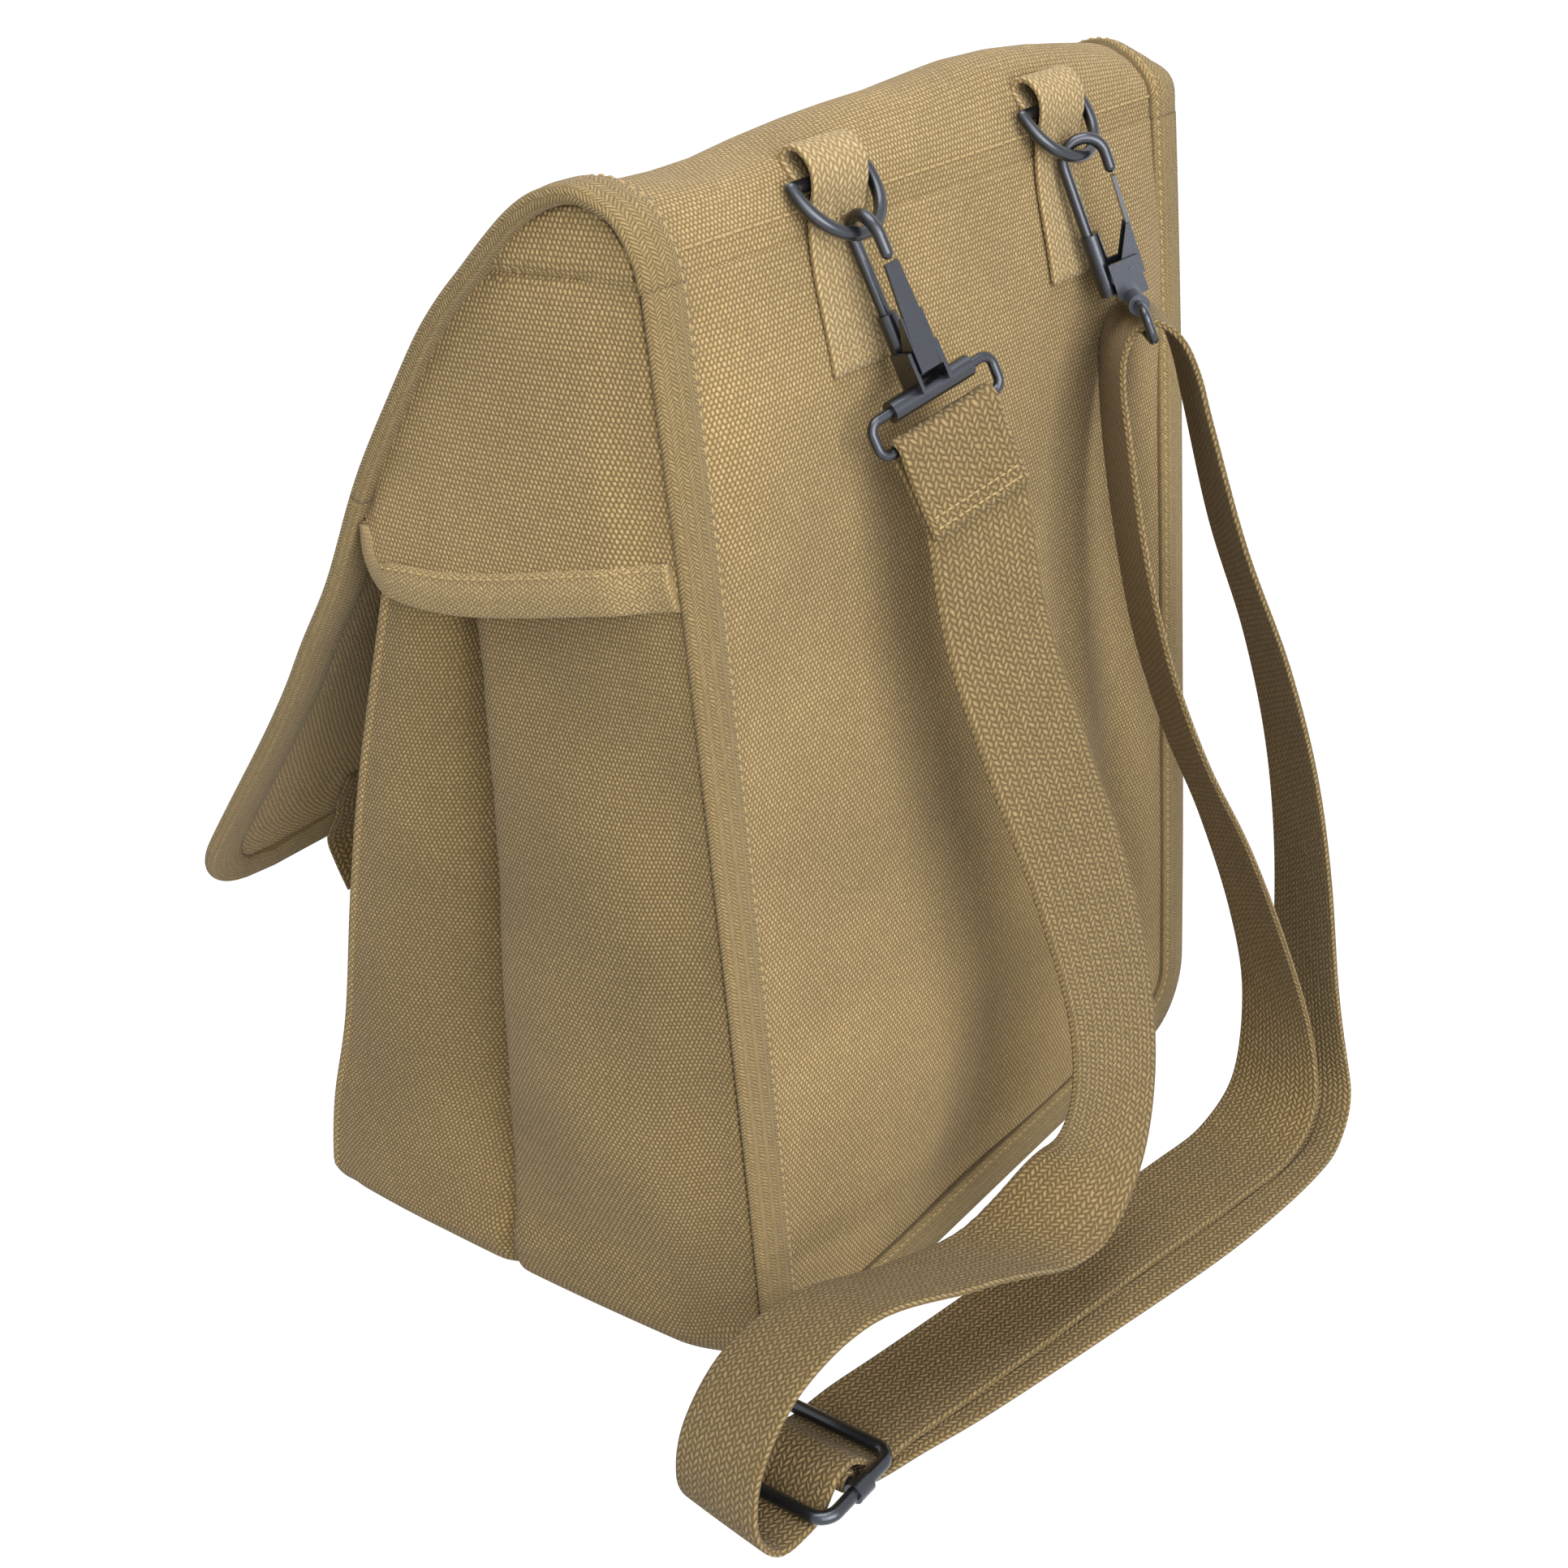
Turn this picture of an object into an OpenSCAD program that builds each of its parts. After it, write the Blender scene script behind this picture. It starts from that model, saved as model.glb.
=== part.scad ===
// Canvas shoulder bag with a full flap, side ears, two snap hooks and a
// webbing strap with a wire slider. Millimetres, +Z up. The front of the bag
// faces -Y, its back faces +Y, and the origin is on the ground under the
// middle of the bottom panel.

/* [Bag] */
// Width of the bag across the panels
bag_w = 280; // [220:1:340]
// Height of the back panel to the flap seam
back_h = 376; // [300:1:460]
// Half of the bottom depth, front to back
half_d = 110; // [80:1:140]
// Height of the front panel's open edge
front_h = 300; // [230:1:330]
// How far the gusset folds sink into the bag
fold_in = 22; // [8:1:40]
// Radius of the bottom corners of the back panel
corner_r = 27; // [12:1:45]
// Thickness of the canvas
cloth = 1.6; // [0.8:0.1:2.4]

/* [Flap] */
// Height of the flap's hem above the ground
hem_z = 136; // [100:1:180]
// How far the hem stands out in front of the origin
hem_out = 137; // [110:1:160]
// Width of the binding tape
tape_w = 12; // [8:1:16]
// Radius of the flap's lower corners
flap_r = 34; // [15:1:60]

/* [Webbing] */
// Width of the shoulder strap
strap_w = 38; // [25:1:44]
// Thickness of the shoulder strap
strap_t = 2.2; // [1.4:0.1:3]
// Width of the tabs that hold the rings
tab_w = 26; // [20:1:32]
// Distance between the two tabs
tab_gap = 120; // [90:1:150]
// Width of the closure straps
close_w = 25; // [20:1:32]

/* [Metal] */
// Wire diameter of the rings
ring_wire = 4; // [3:0.1:5]
// Wire diameter of the hooks
hook_wire = 3.8; // [3:0.1:5]
// Wire diameter of the strap loops
loop_wire = 3.2; // [2.4:0.1:4]
// Wire diameter of the slider
slider_wire = 4.6; // [3:0.1:6]

/* [Hidden] */
$fn = 48;
canvas = [0.66, 0.56, 0.39];
tape = [0.72, 0.62, 0.44];
steel = [0.13, 0.14, 0.17];
half_w = bag_w / 2;
tab_x = tab_gap / 2;
kz = back_h / 376;
ky = half_d / 110;
lift = 2.6;

// side profiles, as [y, z] from back to front
back_path = [[110 * ky, lift], [110 * ky, 300 * kz], [108.4 * ky, 345 * kz],
    [105 * ky, back_h]];
yoke_path = [[107.9 * ky, back_h - 5], [106.6 * ky, back_h + 3], [103.2 * ky, back_h + 11],
    [97 * ky, back_h + 18.4], [89 * ky, back_h + 22]];
crest = [88 * ky, back_h + 22.4];
fold = [-47 * ky, 262 * kz];
upper_path = [[87.2 * ky, back_h + 22.3], [74 * ky, back_h + 19.6], [58 * ky, back_h + 12.6],
    [40 * ky, back_h + 1], [20 * ky, back_h - 17], [2 * ky, back_h - 38],
    [-18 * ky, back_h - 64], [-33 * ky, back_h - 88], [fold.x + 0.2, fold.y + 0.4]];
lower_path = [[fold.x - 0.2, fold.y - 0.4], [-66 * ky, (fold.y + hem_z) / 2 + 34],
    [-92 * ky, (fold.y + hem_z) / 2 - 5], [-hem_out, hem_z]];
front_path = [[-92 * ky, 2.4], [-101 * ky, 3.6], [-106 * ky, 8], [-107 * ky, 16],
    [-98 * ky, 48 * kz], [-81 * ky, 90 * kz], [-64 * ky, 146 * kz], [-46 * ky, 198 * kz],
    [-20 * ky, 262 * kz], [-6 * ky, front_h]];

// strap route: x, y, z, yaw and pitch of its width, from the right hook to
// the slider's bar
route = [
    [46.7, 141.8, 285, 162, 11], [45, 149, 248, 160, 7], [39, 158, 206, 160, 3],
    [28, 166, 159, 162, 0], [19, 171, 110, 166, -2], [20, 172, 65, 168, -6],
    [31, 168, 37, 150, -14], [62, 161, 31, 116, -4], [106, 153, 46, 100, 8],
    [141, 142, 54, 86, 14], [172, 137, 50, 80, 10], [193, 136, 35, 79, 6],
    [201, 138, 18, 80, 3], [195, 139.6, 6, 83, 0], [183, 140.4, 4.3, 86, 0],
    [176, 140.7, 6.4, 87, 0],
    [169, 140.9, 13.1, 88, 0], [164, 141, 14.5, 89, 0], [159, 141.2, 13.1, 90, 0],
    [152, 141.8, 6.4, 92, 0], [145, 142.8, 4.3, 94, 0], [130, 145, 4.2, 97, 0],
    [111, 149, 4.2, 98, 0], [69, 157, 4.2, 99, 0], [17, 166, 4.2, 99, 0],
    [-35, 176, 4.2, 97, 0], [-64, 181, 6, 92, 0], [-86, 181, 17, 78, 0],
    [-98, 175, 46, 66, 0], [-96, 168, 81, 60, 0], [-82, 161, 126, 56, 0],
    [-67, 153, 165, 52, 0], [-59, 145, 202, 49, 0], [-57, 138, 239, 46, 0],
    [-60, 131, 275, 44, 0], [-63.6, 127, 300, 41, 0], [-67.4, 128, 312.6, 40, 0],
    [-73, 133.5, 318, 40, 0], [-79, 140, 312.4, 40, 0], [-83, 144, 300, 41, 0],
    [-85, 148, 281, 42, 0], [-92, 156, 237, 46, 0], [-107, 164, 190, 50, 0],
    [-117, 170, 144, 54, 0], [-119, 176, 99, 58, 0], [-118, 182, 50, 65, 0],
    [-108, 188, 15, 77, 0], [-86, 191.5, 3, 88, 0], [-60, 191, 1.5, 93, 0],
    [-12, 185, 1.4, 98, 0], [49, 171, 1.4, 99, 0], [101, 158, 1.4, 99, 0],
    [130, 149, 1.4, 98, 0], [152.8, 143.2, 1.6, 91, 0]];

// hook frames: position of the hook's top, then yaw, roll and tilt
right_hook = [[tab_x + 0.76, 118.3 * ky, back_h - 1.7], -18, 15, 12];
left_hook = [[-tab_x + 0.9, 118.5 * ky, back_h - 1.7], 40, 0, 18];

function unit(v) = v / norm(v);
function left_of(v) = [-v.y, v.x];
function edge_n(p, i) = left_of(unit(p[i + 1] - p[i]));
function joint_n(p, i) = i == 0 ? edge_n(p, 0)
    : i == len(p) - 1 ? edge_n(p, i - 1)
    : let (a = edge_n(p, i - 1), b = edge_n(p, i), m = unit(a + b)) m / (m * a);
function shifted(p, d) = [for (i = [0:len(p) - 1]) p[i] + d * joint_n(p, i)];
function band(p, a, b) = concat(shifted(p, a), [for (i = [len(p) - 1:-1:0]) shifted(p, b)[i]]);
function spline(a, b, c, d, t) = 0.5 * (2 * b + (c - a) * t
    + (2 * a - 5 * b + 4 * c - d) * t * t + (3 * b - a - 3 * c + d) * t * t * t);
function smooth(p, n) = let (m = len(p) - 1)
    [for (i = [0:m - 1], k = [0:n - 1]) spline(p[max(i - 1, 0)], p[i], p[i + 1],
        p[min(i + 2, m)], k / n), p[m]];
function across(s) = [cos(s[3]) * cos(s[4]), sin(s[3]) * cos(s[4]), sin(s[4])];
function centre(s) = [s[0], s[1], s[2]];
function interp(p, z) = let (i = max([for (k = [0:len(p) - 2]) if (p[k].y <= z) k]))
    p[i].x + (p[i + 1].x - p[i].x) * (z - p[i].y) / (p[i + 1].y - p[i].y);

// a sheet of the given profile, w wide and centred on x
module along_x(pts, w, x = 0) {
    translate([x, 0, 0])
        rotate([90, 0, 90])
            linear_extrude(w, center = true)
                polygon(pts);
}

// a flat outline in X and Z, extruded from y0 to y1
module along_y(y0, y1) {
    translate([0, y1, 0])
        rotate([90, 0, 0])
            linear_extrude(y1 - y0)
                children();
}

// outline with two rounded lower corners
module pocket_outline(hw, z0, z1, r) {
    translate([-hw, z0 + r])
        square([2 * hw, z1 - z0 - r]);
    translate([-hw + r, z0])
        square([2 * hw - 2 * r, r + 1]);
    for (s = [-1, 1])
        translate([s * (hw - r), z0 + r])
            circle(r, $fn = 96);
}

// closed mesh from rows of points that all have the same length
module skin(rows, closed_ends = true) {
    n = len(rows[0]);
    m = len(rows);
    pts = [for (r = rows, q = r) q];
    sides = [for (i = [0:m - 2], k = [0:n - 1]) let (a = i * n + k, b = i * n + (k + 1) % n)
        each [[a, b, b + n], [a, b + n, a + n]]];
    caps = [[for (k = [n - 1:-1:0]) k], [for (k = [0:n - 1]) (m - 1) * n + k]];
    polyhedron(pts, concat(sides, caps), convexity = 10);
}

module back_panel() {
    color(canvas)
        intersection() {
            along_x(band(back_path, 0, cloth), bag_w);
            along_y(90, 130)
                pocket_outline(half_w, lift, back_h + 10, corner_r);
        }
}

// tape round the sides and bottom of the back panel, wrapped over its edge
module back_binding() {
    color(tape)
        difference() {
            intersection() {
                along_x(band([for (q = back_path) [q.x, q.y <= lift ? 0 : q.y]], -2.4, 12),
                    bag_w + 8);
                along_y(80, 130)
                    pocket_outline(half_w + lift, 0, back_h - 5.5, corner_r + lift);
            }
            along_y(70, 140)
                pocket_outline(half_w - tape_w, tape_w, back_h + 10, corner_r - 8);
            intersection() {
                along_x(band([for (q = back_path) [q.x, q.y <= lift ? -5 : q.y]], 0, 30),
                    bag_w + 8);
                along_y(70, 140)
                    pocket_outline(half_w, lift, back_h + 10, corner_r);
            }
        }
}

module front_panel() {
    color(canvas)
        intersection() {
            along_x(band(front_path, 0, -cloth), bag_w - 7);
            along_y(-200, 100)
                pocket_outline(half_w - 3.1, 2.4, front_h + 9, corner_r - 2.1);
        }
}

module bottom_panel() {
    color(canvas)
        translate([0, (-91 * ky + 96.8 * ky) / 2, cloth / 2])
            cube([bag_w - 2 * corner_r - 3, 187.8 * ky, cloth], center = true);
}

divider_path = [[-9.6 * ky, 3], [-8 * ky, 32 * kz], [-4 * ky, 87 * kz], [8 * ky, 172 * kz],
    [17 * ky, 250 * kz]];

module divider() {
    color(canvas)
        along_x(band(divider_path, -0.8, 0.8), bag_w - 2 * fold_in - 5);
}

// gusset cross-section at height z: two pleats that meet at a deep fold
function arc_x(k) = k < 5 ? half_w - 1 - corner_r + corner_r * sin(k * 18) : half_w - 0.6;
function arc_z(k) = k < 5 ? 0.3 + corner_r - corner_r * cos(k * 18)
    : 0.3 + corner_r + (k - 5) * (front_h - 16 - corner_r) / 11;
function sink(z) = fold_in * min(1, max(0, (z - 6) / 84));
function fold_y(z) = interp([[-10 * ky, -20], [-8 * ky, 32 * kz], [-4 * ky, 87 * kz],
    [8 * ky, 172 * kz], [17 * ky, 250 * kz], [24 * ky, 600]], z);
function front_y(z) = interp(concat([[-97 * ky, -20]], [for (i = [2:9]) front_path[i]],
    [[20, 900]]), z) + 2.4;
function bulge(z) = min(1, max(-0.1, (232 * kz - z) / 60));
function pleat(z) = let (f = front_y(z), m = fold_y(z), b = 97.4 * ky, d = sink(z), e = d * bulge(z))
    [[f, 0], [f + 0.3 * (m - f), -0.1 * d], [f + 0.62 * (m - f), -0.4 * d],
    [m - 9, -0.78 * d], [m - 2, -d], [m + 1.5, -0.94 * d], [m + 4.5, -0.45 * d],
    [m + 8, 0.02 * e], [m + 0.35 * (b - m), 0.2 * e], [m + 0.7 * (b - m), 0.18 * e],
    [b - 8, 0.05 * e], [b, 0]];
function rim(k, t) = let (z = arc_z(k), a = min(k, 5) * 18, p = pleat(z))
    [for (q = p) [arc_x(k) + q[1] * sin(a) - t * sin(a), q[0], z - q[1] * cos(a) * 0.2
        + t * cos(a)]];
function ring_of(k) = let (o = rim(k, 0), i = rim(k, cloth))
    concat(o, [for (j = [len(i) - 1:-1:0]) i[j]]);

module gusset() {
    color(canvas)
        skin([for (k = [0:16]) ring_of(k)]);
}

// side ear: rear edge along the back, top edge under the flap, front edge
// inside the flap
ear_shape = [[97.4 * ky, back_h - 94], [95.8 * ky, back_h - 31], [92.2 * ky, back_h - 2],
    [91.6 * ky, back_h + 8], [86 * ky, back_h + 16.8],
    [73.6 * ky, back_h + 15.2], [57 * ky, back_h + 8], [38.2 * ky, back_h - 4],
    [17.4 * ky, back_h - 22.4], [-1 * ky, back_h - 43.4], [-21.2 * ky, back_h - 69.6],
    [-30 * ky, back_h - 84], [-32 * ky, back_h - 96], [-27 * ky, back_h - 106],
    [-14 * ky, back_h - 112], [13 * ky, back_h - 113], [42 * ky, back_h - 109]];

module ear(s) {
    color(canvas)
        difference() {
            along_x(ear_shape, cloth, s * (half_w + 1.3));
            under_flap();
        }
}

// room for the flap and its edge tape over the ears
module under_flap() {
    along_x(band(upper_path, -20, cloth + 1.5), bag_w + 30);
}

// tape along the ear's lower edge, folded over it
ear_edge = [[-33.6 * ky, back_h - 90], [-35 * ky, back_h - 97.4], [-29 * ky, back_h - 108.6],
    [-14.6 * ky, back_h - 115], [13 * ky, back_h - 116], [42.4 * ky, back_h - 112],
    [97.4 * ky, back_h - 97]];

module ear_hem(s) {
    color(tape)
        difference() {
            along_x(band(ear_edge, 0, tape_w + 1), 3.8, s * (half_w + 2.2));
            along_x(ear_shape, 3, s * (half_w + 0.6));
            under_flap();
        }
}

module flap_yoke() {
    color(canvas)
        along_x(band(yoke_path, 0, cloth), bag_w + 6);
}

// cuts the flap's lower corners round
module flap_outline(hw, z0) {
    along_y(-260, 160)
        pocket_outline(hw, z0, back_h + 60, flap_r);
}

module flap_upper() {
    color(canvas)
        along_x(band(upper_path, 0, cloth), bag_w + 6);
}

module flap_lower() {
    color(canvas)
        intersection() {
            along_x(band(lower_path, 0, cloth), bag_w + 6);
            flap_outline(half_w + 3, hem_z - 1);
        }
}

// tape on one side edge of the upper flap
module flap_edge(s) {
    color(tape)
        difference() {
            along_x(band(upper_path, -1.2, cloth + 1), tape_w + 2.4, s * (half_w - tape_w / 2 + 4.2));
            along_x(band(upper_path, -0.05, cloth + 0.05), bag_w + 6.1);
            for (p = [crest, fold])
                translate([0, p.x, p.y])
                    rotate([0, 90, 0])
                        cylinder(r = 3, h = bag_w + 30, center = true);
        }
}

// tape round the sides and hem of the lower flap
module flap_hem() {
    low = concat([for (i = [0:2]) lower_path[i]],
        [lower_path[3] - 2.4 * flap_up]);
    cut = concat([for (i = [0:2]) lower_path[i]], [lower_path[3] - 0.2 * flap_up]);
    color(tape)
        difference() {
            intersection() {
                along_x(band(low, -1.2, cloth + 1), bag_w + 11);
                flap_outline(half_w + 5.4, hem_z - 3.4);
            }
            flap_outline(half_w - 9, hem_z + tape_w);
            intersection() {
                along_x(band(cut, -0.08, cloth + 0.08), bag_w + 6.1);
                flap_outline(half_w + 3.08, hem_z - 1.08);
            }
            translate([0, fold.x, fold.y])
                rotate([0, 90, 0])
                    cylinder(r = 3, h = bag_w + 30, center = true);
        }
}

// ring tab: flat strip sewn to the back, rolled round the ring's bar
bar_y = 108.4 * ky;
bar_z = back_h + 9;
eye_r = ring_wire / 2 + 0.08;

module tab(s) {
    strip = [[109.1 * ky, back_h - 45], [108.6 * ky, back_h - 31], [108.2 * ky, back_h - 8],
        [108 * ky, back_h - 5], [106.7 * ky, back_h + 3.4]];
    color(tape)
        translate([s * tab_x, 0, 0])
            difference() {
                union() {
                    along_x(band(strip, 0, -2), tab_w);
                    translate([0, bar_y, bar_z])
                        rotate([0, 90, 0])
                            cylinder(r = eye_r + 2, h = tab_w, center = true);
                    along_x([[107 * ky, back_h - 1], [110.1 * ky, back_h - 8],
                        [bar_y + 3.8, bar_z - 2], [bar_y - 3, bar_z - 1]], tab_w);
                }
                translate([0, bar_y, bar_z])
                    rotate([0, 90, 0])
                        cylinder(r = eye_r, h = tab_w + 2, center = true);
                along_x(band(concat([[108 * ky, back_h - 12]], yoke_path), -0.12, 8),
                    tab_w + 2);
            }
}

// D-ring that swings on its straight bar
ring_half = 17.5;
ring_lean = 37;

module ring(s) {
    color(steel)
        translate([s * tab_x, bar_y, bar_z])
            rotate([ring_lean, 0, 0]) {
                rotate([0, 90, 0])
                    cylinder(r = ring_wire / 2, h = 2 * ring_half, center = true);
                for (k = [-1, 1]) {
                    translate([k * ring_half, 0, 0])
                        sphere(ring_wire / 2);
                    translate([k * ring_half, 0, -1])
                        cylinder(r = ring_wire / 2, h = 1);
                }
                translate([0, 0, -1])
                    rotate([90, 0, 0])
                        rotate([0, 0, 180])
                            rotate_extrude(angle = 180)
                                translate([ring_half, 0])
                                    circle(ring_wire / 2, $fn = 32);
            }
}

// moves from the hook's own frame (top at the origin, tip towards +Y) to the bag
module place(h) {
    translate(h[0])
        rotate([0, 0, h[1]])
            rotate([0, h[2], 0])
                rotate([h[3], 0, 0])
                    translate([0, 0, (ring_wire + hook_wire - 7.8) / 2])
                        children();
}

bend_r = 7;
hw = hook_wire / 2;
base_z = -53;

// bent rod of the hook with the sleeve over its lower shank
module hook() {
    color(steel) {
        translate([0, 0, -bend_r + 1]) {
            rotate([90, 0, 90])
                rotate_extrude(angle = 180)
                    translate([bend_r, 0])
                        circle(hw, $fn = 32);
            translate([0, bend_r, -5])
                cylinder(r = hw, h = 5);
            translate([0, bend_r, -5])
                sphere(hw);
            translate([0, -bend_r, -35])
                cylinder(r = hw, h = 35);
        }
        translate([0, -bend_r + 0.6, base_z + 3])
            cylinder(r = hw + 1.3, h = 21);
    }
}

// rolled crossbar tube with two cheeks that hold the gate's pin
module hook_base() {
    color(steel)
        difference() {
            union() {
                translate([0, 0, base_z])
                    rotate([0, 90, 0])
                        cylinder(r = 3.4, h = 30, center = true);
                for (s = [-1, 1])
                    translate([s * 5 - 0.6, -4.4, base_z + 1])
                        cube([1.2, 10, 12.4]);
                translate([-5.6, -4.4, base_z + 1])
                    cube([11.2, 1.2, 5]);
            }
            translate([0, 0, base_z])
                rotate([0, 90, 0])
                    cylinder(r = loop_wire / 2 + 0.08, h = 32, center = true);
            translate(gate_foot)
                rotate([0, 90, 0])
                    cylinder(r = 1.0, h = 20, center = true);
            translate([0, -bend_r + 0.6, base_z + 2])
                cylinder(r = hw + 1.4, h = 24);
        }
}

// the gate turns on this pin
gate_foot = [0, 2.6, base_z + 9.6];

module gate_pin() {
    color(steel)
        translate(gate_foot)
            rotate([0, 90, 0])
                cylinder(r = 1.0, h = 11.8, center = true);
}

// gate: a tapered plate that closes against the tip, with two flanges at its foot
module gate() {
    top = -bend_r - 4 - hw - 0.9;
    foot = base_z + 6.6;
    color(steel)
        difference() {
            union() {
                translate([0, bend_r + 0.6, top])
                    rotate([-2, 0, 0])
                        rotate([90, 0, 0])
                            linear_extrude(1.2)
                                polygon([[-2.3, 0], [2.3, 0], [4, foot - top], [-4, foot - top]]);
                for (s = [-1, 1])
                    along_x([[0.2, foot], [6.6, foot], [6.8, foot + 17], [5.6, foot + 17],
                        [0.2, foot + 6]], 0.9, s * 3.55);
            }
            translate(gate_foot)
                rotate([0, 90, 0])
                    cylinder(r = 1.06, h = 20, center = true);
        }
}

// wire loop that turns in the crossbar tube and carries the webbing
loop_w = 46.4;
loop_d = 11;

module wire_loop() {
    r = 3.6;
    side = loop_w / 2;
    color(steel)
        translate([0, 0, base_z]) {
            for (z = [0, -loop_d])
                translate([0, 0, z])
                    rotate([0, 90, 0])
                        cylinder(r = loop_wire / 2, h = loop_w - 2 * r, center = true);
            for (s = [-1, 1]) {
                translate([s * side, 0, r - loop_d])
                    cylinder(r = loop_wire / 2, h = loop_d - 2 * r);
                for (t = [-1, 1])
                    translate([s * (side - r), 0, -loop_d / 2 + t * (loop_d / 2 - r)])
                        rotate([90, 0, 0])
                            rotate([0, 0, s > 0 ? (t > 0 ? 0 : -90) : (t > 0 ? 90 : 180)])
                                rotate_extrude(angle = 90)
                                    translate([r, 0])
                                        circle(loop_wire / 2, $fn = 24);
            }
        }
}

// webbing end sewn round the right loop's lower bar
module strap_eye() {
    z0 = base_z - loop_d;
    color(tape)
        place(right_hook)
            difference() {
                union() {
                    translate([0, 0, z0])
                        rotate([0, 90, 0])
                            cylinder(r = loop_wire / 2 + 0.3 + strap_t, h = strap_w, center = true);
                    along_x([[-2.4, z0 - 28], [2.4, z0 - 28], [2.5, z0 - 9], [3.9, z0],
                        [-3.9, z0], [-2.5, z0 - 9]], strap_w);
                }
                translate([0, 0, z0])
                    rotate([0, 90, 0])
                        cylinder(r = loop_wire / 2 + 0.1, h = strap_w + 2, center = true);
            }
}

// long run of webbing along the route
function strap_ring(s) = let (w = across(s[0]), t = unit(s[1]), n = unit(cross(t, w)),
    c = centre(s[0])) [c - w * strap_w / 2 - n * strap_t / 2, c + w * strap_w / 2 - n * strap_t / 2,
    c + w * strap_w / 2 + n * strap_t / 2, c - w * strap_w / 2 + n * strap_t / 2];

module strap() {
    p = smooth(route, 3);
    m = len(p) - 1;
    color(tape)
        skin([for (i = [0:m]) strap_ring([p[i], centre(p[min(i + 1, m)]) - centre(p[max(i - 1, 0)])])]);
}

// rectangular wire slider round the strap, with a centre bar
slide_at = [164, 141, 8.8];
slide_x = 17.6;
slide_y = 23;

module slider_frame() {
    r = slider_wire / 2;
    c = 6;
    color(steel)
        translate(slide_at)
            for (s = [-1, 1]) {
                translate([s * slide_x, 0, 0])
                    rotate([90, 0, 0])
                        cylinder(r = r, h = 2 * (slide_y - c), center = true);
                translate([0, s * slide_y, 0])
                    rotate([0, 90, 0])
                        cylinder(r = r, h = 2 * (slide_x - c), center = true);
                for (k = [-1, 1])
                    translate([s * (slide_x - c), k * (slide_y - c), 0])
                        rotate([0, 0, s > 0 ? (k > 0 ? 0 : 270) : (k > 0 ? 90 : 180)])
                            rotate_extrude(angle = 90)
                                translate([c, 0])
                                    circle(r, $fn = 32);
            }
}

// centre bar with a rolled collar round each side of the frame
module slider_bar() {
    r = slider_wire / 2;
    color(steel)
        translate(slide_at)
            difference() {
                union() {
                    rotate([90, 0, 0])
                        cylinder(r = 1.7, h = 2 * slide_y, center = true);
                    for (k = [-1, 1])
                        translate([0, k * slide_y, 0])
                            rotate([0, 90, 0])
                                cylinder(r = r + 1.2, h = 7, center = true);
                }
                for (k = [-1, 1])
                    translate([0, k * slide_y, 0])
                        rotate([0, 90, 0])
                            cylinder(r = r + 0.08, h = 9, center = true);
            }
}

// webbing end sewn round the slider's centre bar
module strap_end() {
    color(tape)
        translate(slide_at)
            rotate([0, 0, -90])
                difference() {
                    union() {
                        rotate([0, 90, 0])
                            cylinder(r = 1.8 + strap_t, h = strap_w, center = true);
                        along_x([[-2.6, -3], [-10.3, -8.4], [-10.3, -6.2], [-3.4, -0.6]], strap_w);
                    }
                    rotate([0, 90, 0])
                        cylinder(r = 1.78, h = strap_w + 2, center = true);
                }
}

// closure strap sewn under the flap's hem
close_x = 78;
flap_up = unit(lower_path[2] - lower_path[3]);
function hem_point(t, d) = lower_path[3] + t * flap_up + d * [flap_up.y, -flap_up.x];

module closure_strap(s) {
    color(tape)
        along_x(band([hem_point(36, 3.1), hem_point(22, 3.2), hem_point(16, 4.3),
            hem_point(2, 4.4), hem_point(1, 4.8) + [2.4, -9], hem_point(1, 4.8) + [7, -20]],
            -1, 1), close_w, s * close_x);
}

// webbing chape on the front panel, rolled round the buckle's top bar
chape_z = 122 * kz;
function front_at(z) = interp([for (i = [3:9]) front_path[i]], z);
chape_lean = atan((front_at(chape_z + 24) - front_at(chape_z)) / 24);
chape_at = [0, front_at(chape_z) - 4.4, chape_z];

module chape(s) {
    color(tape)
        translate(chape_at + [s * close_x, 0, 0])
            rotate([-chape_lean, 0, 0])
                difference() {
                    union() {
                        rotate([0, 90, 0])
                            cylinder(r = 3.5, h = close_w, center = true);
                        translate([-close_w / 2, 2, 0])
                            cube([close_w, 2.1, 24]);
                        translate([-close_w / 2, 0, 0])
                            cube([close_w, 3.5, 6]);
                    }
                    rotate([0, 90, 0])
                        cylinder(r = 1.58, h = close_w + 2, center = true);
                }
}

// rectangular friction buckle that hangs from the chape
module buckle(s) {
    r = 1.5;
    side = close_w / 2 + 3.5;
    color(steel)
        translate(chape_at + [s * close_x, 0, 0])
            rotate([6.6 - chape_lean, 0, 0])
                for (z = [0, -10, -20])
                    translate([0, 0, z]) {
                        rotate([0, 90, 0])
                            cylinder(r = r, h = 2 * side, center = true);
                        for (k = [-1, 1])
                            translate([k * side, 0, 0]) {
                                sphere(r, $fn = 32);
                                if (z < 0)
                                    cylinder(r = r, h = 10);
                            }
                    }
}

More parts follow.
